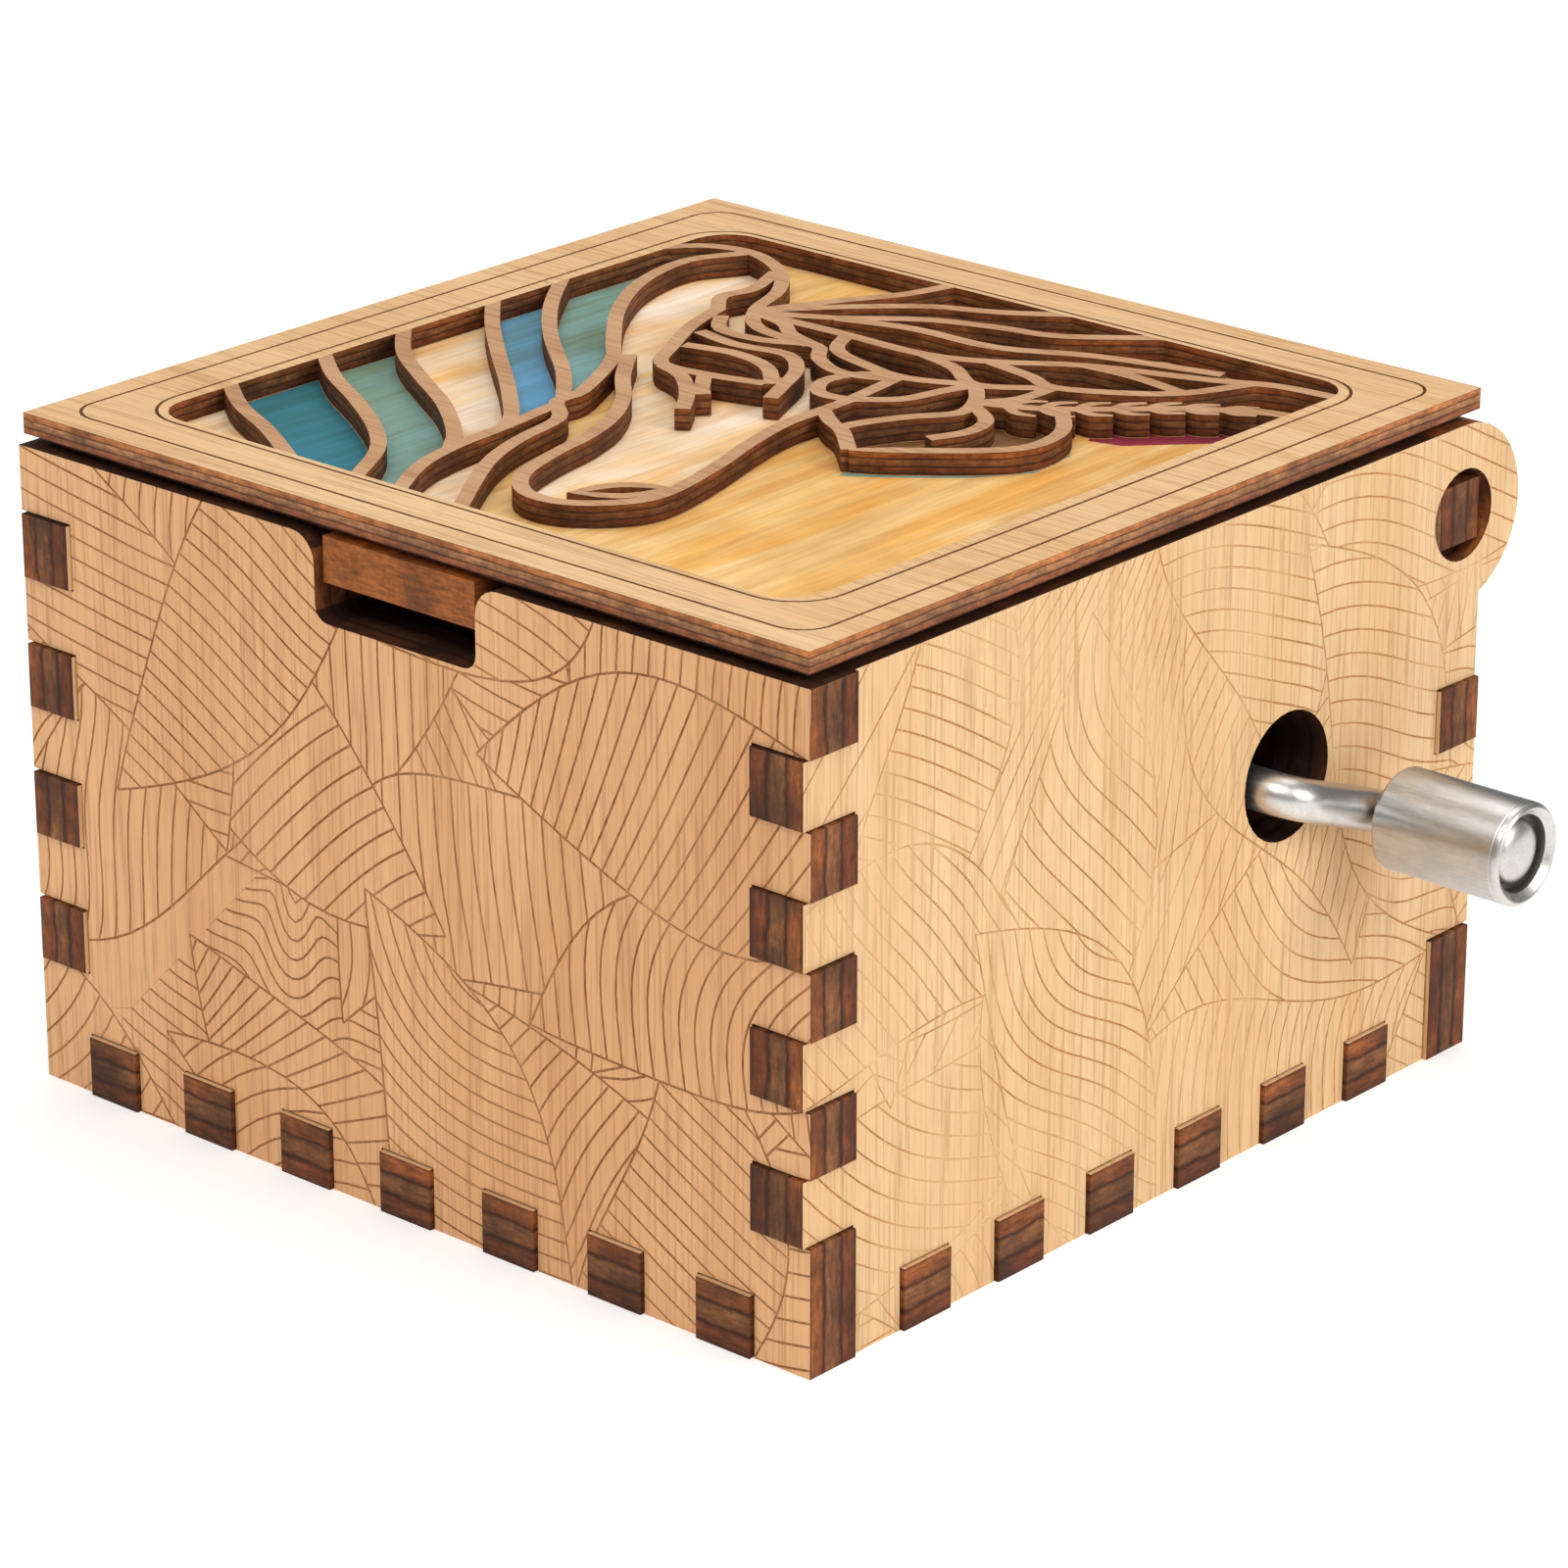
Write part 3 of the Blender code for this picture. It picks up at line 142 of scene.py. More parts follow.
class Nodes:
    """Short words for building a node tree."""

    def __init__(self, tree):
        self.tree = tree

    def add(self, kind, **settings):
        made = self.tree.nodes.new(kind)
        for name, value in settings.items():
            setattr(made, name, value)
        return made

    def link(self, source, target):
        self.tree.links.new(source, target)

    def feed(self, socket, value):
        if isinstance(value, bpy.types.NodeSocket):
            self.link(value, socket)
        elif isinstance(value, tuple) and socket.type == "RGBA" and len(value) == 3:
            socket.default_value = (*value, 1.0)
        else:
            socket.default_value = value

    def maths(self, operation, *values):
        made = self.add("ShaderNodeMath", operation=operation)
        for socket, value in zip(made.inputs, values, strict=False):
            self.feed(socket, value)
        return made.outputs[0]

    def mix(self, factor, first, second, blend="MIX"):
        made = self.add("ShaderNodeMix", data_type="RGBA", blend_type=blend)
        self.feed(made.inputs["Factor"], factor)
        self.feed(made.inputs["A"], first)
        self.feed(made.inputs["B"], second)
        return made.outputs["Result"]

    def ramp(self, factor, stops):
        """A colour ramp; each stop is its place and its colour, or its grey value."""
        made = self.add("ShaderNodeValToRGB")
        while len(made.color_ramp.elements) < len(stops):
            made.color_ramp.elements.new(0.5)
        for element, (place, colour) in zip(made.color_ramp.elements, stops, strict=True):
            element.position = place
            element.color = (*colour, 1.0) if isinstance(colour, tuple) else (colour, colour, colour, 1.0)
        self.feed(made.inputs["Fac"], factor)
        return made.outputs["Color"]

    def mapping(self, vector, scale, location=(0.0, 0.0, 0.0), rotation=(0.0, 0.0, 0.0)):
        made = self.add("ShaderNodeMapping")
        self.feed(made.inputs["Vector"], vector)
        made.inputs["Scale"].default_value = scale
        made.inputs["Location"].default_value = location
        made.inputs["Rotation"].default_value = rotation
        return made.outputs["Vector"]

    def along_grain(self, grain, shift=0.0):
        """Object coordinates turned so that the given axis of the wood's grain becomes X."""
        place = self.add("ShaderNodeTexCoord").outputs["Object"]
        return self.mapping(place, (1.0, 1.0, 1.0), (shift, shift, shift), GRAIN[grain])

    def noise(self, vector, scale, detail=3.0, roughness=0.5, distortion=0.0):
        made = self.add("ShaderNodeTexNoise")
        self.feed(made.inputs["Vector"], vector)
        made.inputs["Scale"].default_value = scale
        made.inputs["Detail"].default_value = detail
        made.inputs["Roughness"].default_value = roughness
        made.inputs["Distortion"].default_value = distortion
        return made.outputs["Fac"]


def new_group(name, inputs, outputs):
    """A node group with named sockets: (name, kind, default) in and (name, kind) out."""
    group = bpy.data.node_groups.new(name, "ShaderNodeTree")
    for label, kind, default in inputs:
        made = group.interface.new_socket(label, in_out="INPUT", socket_type=kind)
        if default is not None:
            made.default_value = default
    for label, kind in outputs:
        group.interface.new_socket(label, in_out="OUTPUT", socket_type=kind)
    nodes = Nodes(group)
    return group, nodes, nodes.add("NodeGroupInput").outputs, nodes.add("NodeGroupOutput").inputs


def birch_group():
    """Planed birch: fine fibres along the input's X, soft broad bands and short dark pores."""
    group, n, given, out = new_group(
        "birch_grain",
        [("Vector", "NodeSocketVector", None), ("Pale", "NodeSocketColor", (0.8, 0.6, 0.4, 1.0)),
         ("Warm", "NodeSocketColor", (0.7, 0.45, 0.26, 1.0))],
        [("Color", "NodeSocketColor"), ("Roughness", "NodeSocketFloat"), ("Height", "NodeSocketFloat")])
    bands = n.noise(n.mapping(given["Vector"], (18.0, 160.0, 160.0)), 1.0, 2.0, 0.5, 0.6)
    fibres = n.noise(n.mapping(given["Vector"], (110.0, 4400.0, 4400.0)), 1.0, 3.0, 0.6)
    pores = n.noise(n.mapping(given["Vector"], (480.0, 6000.0, 6000.0)), 1.0, 1.0, 0.4)
    cloud = n.noise(n.mapping(given["Vector"], (60.0, 60.0, 60.0)), 1.0, 2.0, 0.5)
    base = n.mix(n.ramp(bands, [(0.36, 0.0), (0.66, 1.0)]), given["Pale"], given["Warm"])
    base = n.mix(n.ramp(cloud, [(0.35, 0.0), (0.75, 0.35)]), base, given["Warm"])
    streak = n.ramp(fibres, [(0.32, (0.70, 0.63, 0.54)), (0.50, (1.0, 1.0, 1.0)), (0.70, (1.10, 1.09, 1.06))])
    base = n.mix(0.85, base, streak, "MULTIPLY")
    pore_mask = n.ramp(pores, [(0.27, 1.0), (0.33, 0.0)])
    base = n.mix(n.maths("MULTIPLY", pore_mask, 0.35), base, (0.40, 0.22, 0.11))
    n.link(base, out["Color"])
    n.link(n.maths("MULTIPLY_ADD", fibres, 0.22, 0.46), out["Roughness"])
    n.link(n.maths("SUBTRACT", fibres, n.maths("MULTIPLY", pore_mask, 0.4)), out["Height"])
    return group


def scorched_group():
    """A laser-cut edge of plywood. Across runs from 0 at the outer face to 1 at the inner one."""
    group, n, given, out = new_group(
        "scorched_plies",
        [("Vector", "NodeSocketVector", None), ("Striped", "NodeSocketVector", None),
         ("Across", "NodeSocketFloat", 0.5), ("Burn", "NodeSocketFloat", 0.5),
         ("Tone", "NodeSocketColor", (1.0, 1.0, 1.0, 1.0))],
        [("Color", "NodeSocketColor"), ("Roughness", "NodeSocketFloat"), ("Height", "NodeSocketFloat")])
    wobble = n.noise(given["Vector"], 420.0, 3.0, 0.6)
    across = n.maths("ADD", given["Across"], n.maths("MULTIPLY", n.maths("SUBTRACT", wobble, 0.5), 0.16))
    plies = n.ramp(across, [(0.0, (0.140, 0.040, 0.012)), (0.06, (0.32, 0.110, 0.036)),
                            (0.25, (0.25, 0.082, 0.028)), (0.31, (0.045, 0.012, 0.004)),
                            (0.37, (0.250, 0.112, 0.052)), (0.60, (0.190, 0.080, 0.036)),
                            (0.67, (0.040, 0.011, 0.004)), (0.75, (0.200, 0.062, 0.024)),
                            (0.93, (0.145, 0.046, 0.017)), (1.0, (0.070, 0.018, 0.006))])
    fine = n.noise(given["Vector"], 2400.0, 3.0, 0.65)
    stripes = n.noise(given["Striped"], 1.0, 3.0, 0.6)
    # spots of char from the cut; with Burn at its highest they darken nearly the whole edge, which on the edges
    # picked under the lid and in the crank hole is painted shade
    soot_and_shade = n.noise(given["Vector"], 260.0, 3.0, 0.55)
    speckle = n.ramp(fine, [(0.3, (0.62, 0.60, 0.58)), (0.7, (1.30, 1.28, 1.25))])
    colour = n.mix(0.8, plies, speckle, "MULTIPLY")
    streaks = n.ramp(stripes, [(0.33, (0.55, 0.52, 0.50)), (0.68, (1.35, 1.30, 1.25))])
    colour = n.mix(0.9, colour, streaks, "MULTIPLY")
    char = n.ramp(n.maths("ADD", soot_and_shade, n.maths("MULTIPLY_ADD", given["Burn"], 0.4, -0.2)),
                  [(0.38, 0.0), (0.72, 1.0)])
    colour = n.mix(n.maths("MULTIPLY", char, 0.82), colour, (0.030, 0.012, 0.007))
    n.link(n.mix(1.0, colour, given["Tone"], "MULTIPLY"), out["Color"])
    n.link(n.maths("MULTIPLY_ADD", fine, 0.25, 0.55), out["Roughness"])
    n.link(n.maths("ADD", fine, stripes), out["Height"])
    return group


def metal_group():
    """Plated or ground metal: faint scratches round X, and a dull film in cloudy spots."""
    group, n, given, out = new_group(
        "metal_wear",
        [("Vector", "NodeSocketVector", None)],
        [("Scratches", "NodeSocketFloat"), ("Film", "NodeSocketFloat")])
    n.link(n.noise(n.mapping(given["Vector"], (700.0, 5600.0, 5600.0)), 1.0, 3.0, 0.6), out["Scratches"])
    cloud = n.noise(given["Vector"], 420.0, 4.0, 0.62, 0.3)
    n.link(n.ramp(cloud, [(0.36, 0.0), (0.68, 1.0)]), out["Film"])
    return group


BIRCH = birch_group()
SCORCHED = scorched_group()
WEAR = metal_group()


def new_material(name):
    made = bpy.data.materials.new(name)
    made.use_nodes = True
    nodes = Nodes(made.node_tree)
    return made, nodes, made.node_tree.nodes["Principled BSDF"]


def place_group(nodes, group, **inputs):
    made = nodes.add("ShaderNodeGroup", node_tree=group)
    for label, value in inputs.items():
        nodes.feed(made.inputs[label], value)
    return made.outputs


def add_bump(nodes, shader, height, strength, distance):
    bump = nodes.add("ShaderNodeBump")
    bump.inputs["Strength"].default_value = strength
    bump.inputs["Distance"].default_value = distance * MM
    nodes.link(height, bump.inputs["Height"])
    nodes.link(bump.outputs["Normal"], shader.inputs["Normal"])


def birch_material(name, grain, pale, warm, shift=0.0):
    made, n, shader = new_material(name)
    wood = place_group(n, BIRCH, Vector=n.along_grain(grain, shift), Pale=pale, Warm=warm)
    n.link(wood["Color"], shader.inputs["Base Color"])
    n.link(wood["Roughness"], shader.inputs["Roughness"])
    shader.inputs["Specular IOR Level"].default_value = 0.35
    add_bump(n, shader, wood["Height"], 0.35, 0.03)
    return made


def groove_material(name, grain, dark, light, bare=None, faint=0.0):
    """Toasted wood at the bottom of an engraved line; faint is how near it comes to bare wood in places."""
    made, n, shader = new_material(name)
    turned = n.along_grain(grain)
    fibres = n.noise(n.mapping(turned, (900.0, 5000.0, 5000.0)), 1.0, 2.0, 0.6)
    broad = n.noise(turned, 190.0, 2.0)
    toast = n.ramp(fibres, [(0.35, dark), (0.70, light)])
    toast = n.mix(n.ramp(broad, [(0.45, 0.0), (0.75, 0.6)]), toast, light)
    if bare is not None:
        place = n.add("ShaderNodeTexCoord").outputs["Object"]
        toast = n.mix(n.ramp(n.noise(place, 90.0, 2.0), [(0.44, 0.0), (0.60, faint)]), toast, bare)
    n.link(toast, shader.inputs["Base Color"])
    shader.inputs["Roughness"].default_value = 0.8
    shader.inputs["Specular IOR Level"].default_value = 0.2
    return made


def edge_material(name, axis, outer, inner, burn=0.5, tone=(1.0, 0.92, 0.72), ply=None):
    """Laser-cut edge of a sheet whose faces lie at outer and inner along the axis, in millimetres.

    With ply, the whole edge is that one share of the way across the sheet, and shows no bands.
    """
    made, n, shader = new_material(name)
    place = n.add("ShaderNodeTexCoord").outputs["Object"]
    parts = n.add("ShaderNodeSeparateXYZ")
    n.link(place, parts.inputs[0])
    along = n.add("ShaderNodeMapRange")
    n.link(parts.outputs[AXES[axis]], along.inputs["Value"])
    along.inputs["From Min"].default_value = outer * MM
    along.inputs["From Max"].default_value = inner * MM
    stretch = [700.0, 700.0, 700.0]
    stretch[AXES[axis]] = 3600.0
    plies = place_group(n, SCORCHED, Vector=place, Striped=n.mapping(place, tuple(stretch)),
                        Across=along.outputs["Result"] if ply is None else ply, Burn=burn, Tone=tone)
    n.link(plies["Color"], shader.inputs["Base Color"])
    n.link(plies["Roughness"], shader.inputs["Roughness"])
    shader.inputs["Specular IOR Level"].default_value = 0.25
    add_bump(n, shader, plies["Height"], 0.6, 0.05)
    return made


def metal_material(name, colour, roughness, film=0.25, turned_finish=0.0):
    """Worn metal; turned_finish stretches its highlights along X, as fine turning marks round X do."""
    made, n, shader = new_material(name)
    if turned_finish:
        shader.inputs["Anisotropic"].default_value = turned_finish
        shader.inputs["Anisotropic Rotation"].default_value = 0.25
        tangent = n.add("ShaderNodeTangent", direction_type="RADIAL", axis="X")
        n.link(tangent.outputs["Tangent"], shader.inputs["Tangent"])
    place = n.add("ShaderNodeTexCoord").outputs["Object"]
    wear = place_group(n, WEAR, Vector=place)
    rough = n.maths("MULTIPLY_ADD", wear["Film"], film, roughness)
    n.link(n.maths("MULTIPLY_ADD", wear["Scratches"], 0.16, rough), shader.inputs["Roughness"])
    dull = tuple(0.72 * channel for channel in colour)
    shade = n.mix(n.maths("MULTIPLY", wear["Film"], 0.5), colour, dull)
    streaks = n.ramp(wear["Scratches"], [(0.30, (0.80, 0.80, 0.80)), (0.62, (1.0, 1.0, 1.0))])
    n.link(n.mix(0.7, shade, streaks, "MULTIPLY"), shader.inputs["Base Color"])
    shader.inputs["Metallic"].default_value = 1.0
    add_bump(n, shader, wear["Scratches"], 0.08, 0.006)
    return made


def paint_material(name):
    """Thin paint on the birch sheet under the fretwork; the colour comes from the mesh."""
    made, n, shader = new_material(name)
    place = n.add("ShaderNodeTexCoord").outputs["Object"]
    turned = n.along_grain("y")
    paint = n.add("ShaderNodeAttribute", attribute_name="paint").outputs["Color"]
    wash = n.noise(n.mapping(turned, (40.0, 620.0, 620.0)), 1.0, 4.0, 0.62, 0.5)
    blots = n.noise(place, 95.0, 3.0, 0.6)
    fibres = n.noise(n.mapping(turned, (160.0, 3000.0, 3000.0)), 1.0, 3.0, 0.6)
    thin = n.ramp(wash, [(0.34, (0.88, 0.78, 0.66)), (0.50, (1.0, 1.0, 1.0)), (0.66, (1.08, 1.10, 1.12))])
    colour = n.mix(0.9, paint, thin, "MULTIPLY")
    channels = n.add("ShaderNodeSeparateColor")
    n.link(paint, channels.inputs[0])
    patches = n.noise(n.mapping(turned, (60.0, 260.0, 260.0), (0.3, 0.1, 0.0)), 1.0, 3.0, 0.55, 0.8)
    warm = n.ramp(patches, [(0.36, (1.02, 0.86, 0.50)), (0.50, (1.0, 1.0, 1.0)), (0.64, (1.04, 1.16, 1.42))])
    colour = n.mix(channels.outputs["Red"], colour, warm, "MULTIPLY")
    stain = n.ramp(blots, [(0.36, (0.92, 0.80, 0.62)), (0.64, (1.10, 1.12, 1.16))])
    colour = n.mix(0.8, colour, stain, "MULTIPLY")
    streak = n.ramp(fibres, [(0.30, (0.80, 0.78, 0.74)), (0.60, (1.05, 1.05, 1.05))])
    colour = n.mix(0.6, colour, streak, "MULTIPLY")
    n.link(colour, shader.inputs["Base Color"])
    n.link(n.maths("MULTIPLY_ADD", fibres, 0.2, 0.38), shader.inputs["Roughness"])
    add_bump(n, shader, fibres, 0.3, 0.03)
    return made


# ---------------------------------------------------------------- engraved sheets


def flat_axes(axis):
    """The two axes that span a sheet's face, in an order that fits its outline."""
    return {"x": (1, 2), "y": (0, 2), "z": (0, 1)}[axis]


def outer_plane(node, axis, side):
    """Where the sheet's outer and inner faces lie, in millimetres, for a sheet with two big flat faces."""
    low, high = node_box(node)
    k = AXES[axis]
    return (high[k], low[k]) if side > 0 else (low[k], high[k])


def face_loops(node, axis, side):
    """Outlines of a sheet's outer face, the largest one first, as 2D points in millimetres."""
    bm = merged_copy(node)
    k = AXES[axis]
    plane, _ = outer_plane(node, axis, side)
    chosen = {f for f in bm.faces
              if f.normal[k] * side > 0.99 and abs(f.calc_center_median()[k] / MM - plane) < 0.01}
    rim = dict.fromkeys(e for e in bm.edges if sum(f in chosen for f in e.link_faces) == 1)
    u, v = flat_axes(axis)
    loops = []
    while rim:
        edge = next(iter(rim))
        del rim[edge]
        start, here = edge.verts
        loop = [start, here]
        while here is not start:
            edge = next(e for e in here.link_edges if e in rim)
            del rim[edge]
            here = edge.other_vert(here)
            loop.append(here)
        loops.append(anticlockwise([Vector((p.co[u], p.co[v])) / MM for p in loop[:-1]]))
    bm.free()
    loops.sort(key=loop_area, reverse=True)
    return loops


def loop_area(loop):
    """Area of a closed outline, which is below zero if it runs clockwise."""
    return sum(a.x * b.y - b.x * a.y for a, b in zip(loop, loop[1:] + loop[:1], strict=True)) / 2


def anticlockwise(loop):
    return loop if loop_area(loop) > 0 else loop[::-1]


def ribbon(line, width):
    """Closed outline of a thin band round a line of 2D points."""
    left, right = [], []
    for number, point in enumerate(line):
        ahead = line[min(number + 1, len(line) - 1)]
        behind = line[max(number - 1, 0)]
        along = (ahead - behind).normalized()
        across = Vector((-along.y, along.x)) * width / 2
        left.append(point + across)
        right.append(point - across)
    return right + left[::-1]


def cut_sheet(loops, lines, width):
    """Flat triangulation of a sheet with its engraved lines.

    Gives the points, whether each is at the bottom of a line, the triangles and whether each is in a line.
    """
    points, faces, edges, centres = [], [], [], set()
    for outline in loops + [ribbon(line, width) for line in lines]:
        faces.append(list(range(len(points), len(points) + len(outline))))
        points += outline
    for line in lines:
        start = len(points)
        points += line
        centres.update(range(start, len(points)))
        edges += [(start + n, start + n + 1) for n in range(len(line) - 1)]
    flat, _, cells, origins, _, sources = delaunay_2d_cdt(points, edges, faces, 0, 2e-4, True)
    deep = [any(number in centres for number in origin) for origin in origins]
    kept, in_line = [], []
    holes = set(range(1, len(loops)))
    for cell, source in zip(cells, sources, strict=True):
        if 0 in source and not holes.intersection(source):
            kept.append(cell)
            in_line.append(any(number >= len(loops) for number in source))
    return flat, deep, kept, in_line


def engraved_piece(name, node, axis, side, lines, materials, pick, width, depth=LINE_DEPTH):
    """The sheet of a CAD node with real grooves in its outer face, its cut edges and its plain inner face.

    Pick gives a face's material number, from its kind (face, line or edge), normal and middle in millimetres.
    """
    loops = face_loops(node, axis, side)
    flat, deep, cells, in_line = cut_sheet(loops, lines, width)
    outer, inner = outer_plane(node, axis, side)
    u, v = flat_axes(axis)
    k = AXES[axis]
    bm = bmesh.new()
    verts = []
    for point, is_deep in zip(flat, deep, strict=True):
        place = Vector((0.0, 0.0, 0.0))
        place[u], place[v] = point
        place[k] = outer - side * (depth if is_deep else 0.0)
        verts.append(bm.verts.new(place * MM))
    for cell, grooved in zip(cells, in_line, strict=True):
        face = bm.faces.new([verts[corner] for corner in cell])
        face.material_index = LINE if grooved else FACE
    bmesh.ops.delete(bm, geom=[w for w in bm.verts if not w.link_faces], context="VERTS")
    rim = [e for e in bm.edges if len(e.link_faces) == 1]
    grown = bmesh.ops.extrude_edge_only(bm, edges=rim)["geom"]
    back_edges = [g for g in grown if isinstance(g, bmesh.types.BMEdge)]
    for vert in (g for g in grown if isinstance(g, bmesh.types.BMVert)):
        vert.co[k] = inner * MM
    for face in (g for g in grown if isinstance(g, bmesh.types.BMFace)):
        face.material_index = EDGE
    back = bmesh.ops.triangle_fill(bm, edges=back_edges, use_beauty=True, use_dissolve=False)["geom"]
    for face in (g for g in back if isinstance(g, bmesh.types.BMFace)):
        face.material_index = FACE
    bmesh.ops.recalc_face_normals(bm, faces=bm.faces)
    for face in bm.faces:
        face.material_index = pick(face.material_index, face.normal, face.calc_center_median() / MM)
    finished(name, bm, materials, node)


def finished(name, bm, materials, node=None, body=None, smooth=None):
    """Make the piece from its bmesh, and say what it stands for or rides on."""
    mesh = bpy.data.meshes.new(name)
    bm.to_mesh(mesh)
    bm.free()
    for material in materials:
        mesh.materials.append(material)
    piece = bpy.data.objects.new(name, mesh)
    bpy.context.scene.collection.objects.link(piece)
    if smooth is not None:
        mesh.shade_smooth()
        mesh.set_sharp_from_angle(angle=math.radians(smooth))
    if node is not None:
        body = BODIES[node]
        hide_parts(node)
    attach(piece, body)
    return piece


# ---------------------------------------------------------------- engraved wave pattern


class Wave:
    """A long bent patch with pointed ends, hatched with curved lines, which lies over earlier patches."""

    def __init__(self, draw, centre, length, width, angle):
        self.centre = Vector(centre)
        self.turn = Matrix.Rotation(angle, 2)
        self.back = Matrix.Rotation(-angle, 2)
        self.length, self.width = length, width
        self.bend = draw.choice((-1, 1)) * draw.uniform(0.8, 4.0)
        self.swing = draw.choice((-1, 1)) * draw.uniform(0.8, 3.0)
        slant = draw.choice((-1, 1)) * math.radians(draw.uniform(18.0, 72.0))
        reach = draw.uniform(20.0, 48.0) * draw.choice((-1, 1))
        self.source = Vector((math.cos(slant), math.sin(slant))) * reach
        self.fanned = draw.random() < 0.25
        self.ripple = (draw.uniform(0.2, 1.3), draw.uniform(20.0, 30.0), draw.uniform(0.0, 6.28))
        self.gap = LINE_GAP * draw.uniform(0.86, 1.1)
        self.radius = length / 2 + 3.0

    def spine(self, x):
        share = 2.0 * x / self.length
        return self.bend * (1.0 - share * share) + self.swing * math.sin(math.pi * share)

    def half(self, x):
        share = min(1.0, abs(2.0 * x / self.length))
        return self.width / 2 * math.cos(math.pi / 2 * share) ** 0.95

    def covers(self, point):
        offset = point - self.centre
        if offset.length_squared > self.radius ** 2:
            return False
        local = self.back @ offset
        return abs(2.0 * local.x) < self.length and abs(local.y - self.spine(local.x)) < self.half(local.x)

    def visible_share(self, above, low, high):
        """How much of the patch lies on the wall and under none of the others."""
        total, seen = 0, 0
        for n in range(1, 16):
            x = self.length * (n / 16 - 0.5)
            for share in (-0.75, -0.4, 0.0, 0.4, 0.75):
                point = self.world(Vector((x, self.spine(x) + share * self.half(x))))
                on_wall = low[0] < point.x < high[0] and low[1] < point.y < high[1]
                total += 1
                seen += on_wall and not any(other.covers(point) for other in above)
        return seen / total

    def world(self, point):
        return self.turn @ point + self.centre

    def border(self):
        count = max(8, round(self.length / FINE_STEP))
        for sign in (-1, 1):
            stations = (self.length * (n / count - 0.5) for n in range(count + 1))
            yield [self.world(Vector((x, self.spine(x) + sign * self.half(x)))) for x in stations]

    def hatch(self):
        """Arcs round a far point, or rays that fan out from it."""
        far = self.source.length
        half_angle = math.asin(min(0.95, self.radius / far))
        towards = math.atan2(-self.source.y, -self.source.x)
        if self.fanned:
            for ray in range(-round(half_angle * far / self.gap), round(half_angle * far / self.gap) + 1):
                angle = towards + ray * self.gap / far
                steps = range(round(2 * self.radius / FINE_STEP) + 1)
                reaches = (far - self.radius + FINE_STEP * n for n in steps)
                yield [self.world(self.polar(r, angle + 0.0035 * (r - far))) for r in reaches if r > 4.0]
        else:
            for arc in range(-round(self.radius / self.gap), round(self.radius / self.gap) + 1):
                radius = far + arc * self.gap
                if radius > 3.0:
                    steps = max(6, round(2 * half_angle * radius / FINE_STEP))
                    turns = (half_angle * (2 * n / steps - 1) for n in range(steps + 1))
                    yield [self.world(self.polar(radius + self.rise(turn * far), towards + turn))
                           for turn in turns]

    def rise(self, along):
        height, length, start = self.ripple
        return height * math.sin(2 * math.pi * along / length + start)

    def polar(self, radius, angle):
        return self.source + Vector((math.cos(angle), math.sin(angle))) * radius


def crossing(held, lost, keep):
    """The last point that is still kept on the way from a kept point to one that is not."""
    for _ in range(7):
        middle = (held + lost) / 2
        if keep(middle):
            held = middle
        else:
            lost = middle
    return held


def kept_runs(line, keep):
    """The stretches of a line where keep holds, each cut off right where it stops holding."""
    runs, last, was_kept = [], None, False
    for point in line:
        is_kept = keep(point)
        if is_kept and not was_kept:
            runs.append([crossing(point, last, keep)] if last is not None else [])
        if is_kept:
            runs[-1].append(point)
        elif was_kept:
            runs[-1].append(crossing(last, point, keep))
        last, was_kept = point, is_kept
    return [thinned(run) for run in runs if len(run) > 2 and (run[0] - run[-1]).length > SHORTEST_RUN]


def thinned(run):
    """The run with points left out where it is nearly straight."""
    kept = [run[0]]
    for before, point, after in zip(run, run[1:], run[2:], strict=False):
        if (point - kept[-1]).length < 0.2 or (after - point).length < 0.05:
            continue
        turn = (point - before).angle(after - point, 0.0)
        if turn > math.radians(2.5) or (point - kept[-1]).length > 1.4:
            kept.append(point)
    kept.append(run[-1])
    return kept


def wave_pattern(low, high, seed):
    """Engraved lines for a wall between two corners: waves in overlapping layers, each one hatched."""
    draw = random.Random(seed)
    waves = []
    for columns, rows, length, width in WAVE_LAYERS:
        step_x = (high[0] - low[0]) / columns
        step_y = (high[1] - low[1]) / rows
        cells = [(c, r) for c in range(-1, columns + 1) for r in range(-1, rows + 1)]
        draw.shuffle(cells)
        for column, row in cells:
            centre = (low[0] + step_x * (column + 0.5 + draw.uniform(-0.3, 0.3)),
                      low[1] + step_y * (row + 0.5 + draw.uniform(-0.3, 0.3)))
            angle = math.radians(draw.choice((-62, -38, -14, 8, 30, 54, 82)) + draw.uniform(-8, 8))
            size = draw.uniform(0.85, 1.15)
            waves.append(Wave(draw, centre, length * size, width * draw.uniform(0.8, 1.1), angle))
    shown = []
    for wave in reversed(waves):
        if wave.length > GROUND_LENGTH or wave.visible_share(shown, low, high) > SHOWN_SHARE:
            shown.insert(0, wave)
    lines = []
    for number, wave in enumerate(shown):
        above = shown[number + 1:]

        def uncovered(point, above=above):
            if not (low[0] - 1 < point.x < high[0] + 1 and low[1] - 1 < point.y < high[1] + 1):
                return False
            return not any(other.covers(point) for other in above)

        def hatched(point, wave=wave, uncovered=uncovered):
            return wave.covers(point) and uncovered(point)

        for line in wave.border():
            lines += kept_runs(line, uncovered)
        for line in wave.hatch():
            lines += kept_runs(line, hatched)
    return lines


# ---------------------------------------------------------------- pieces


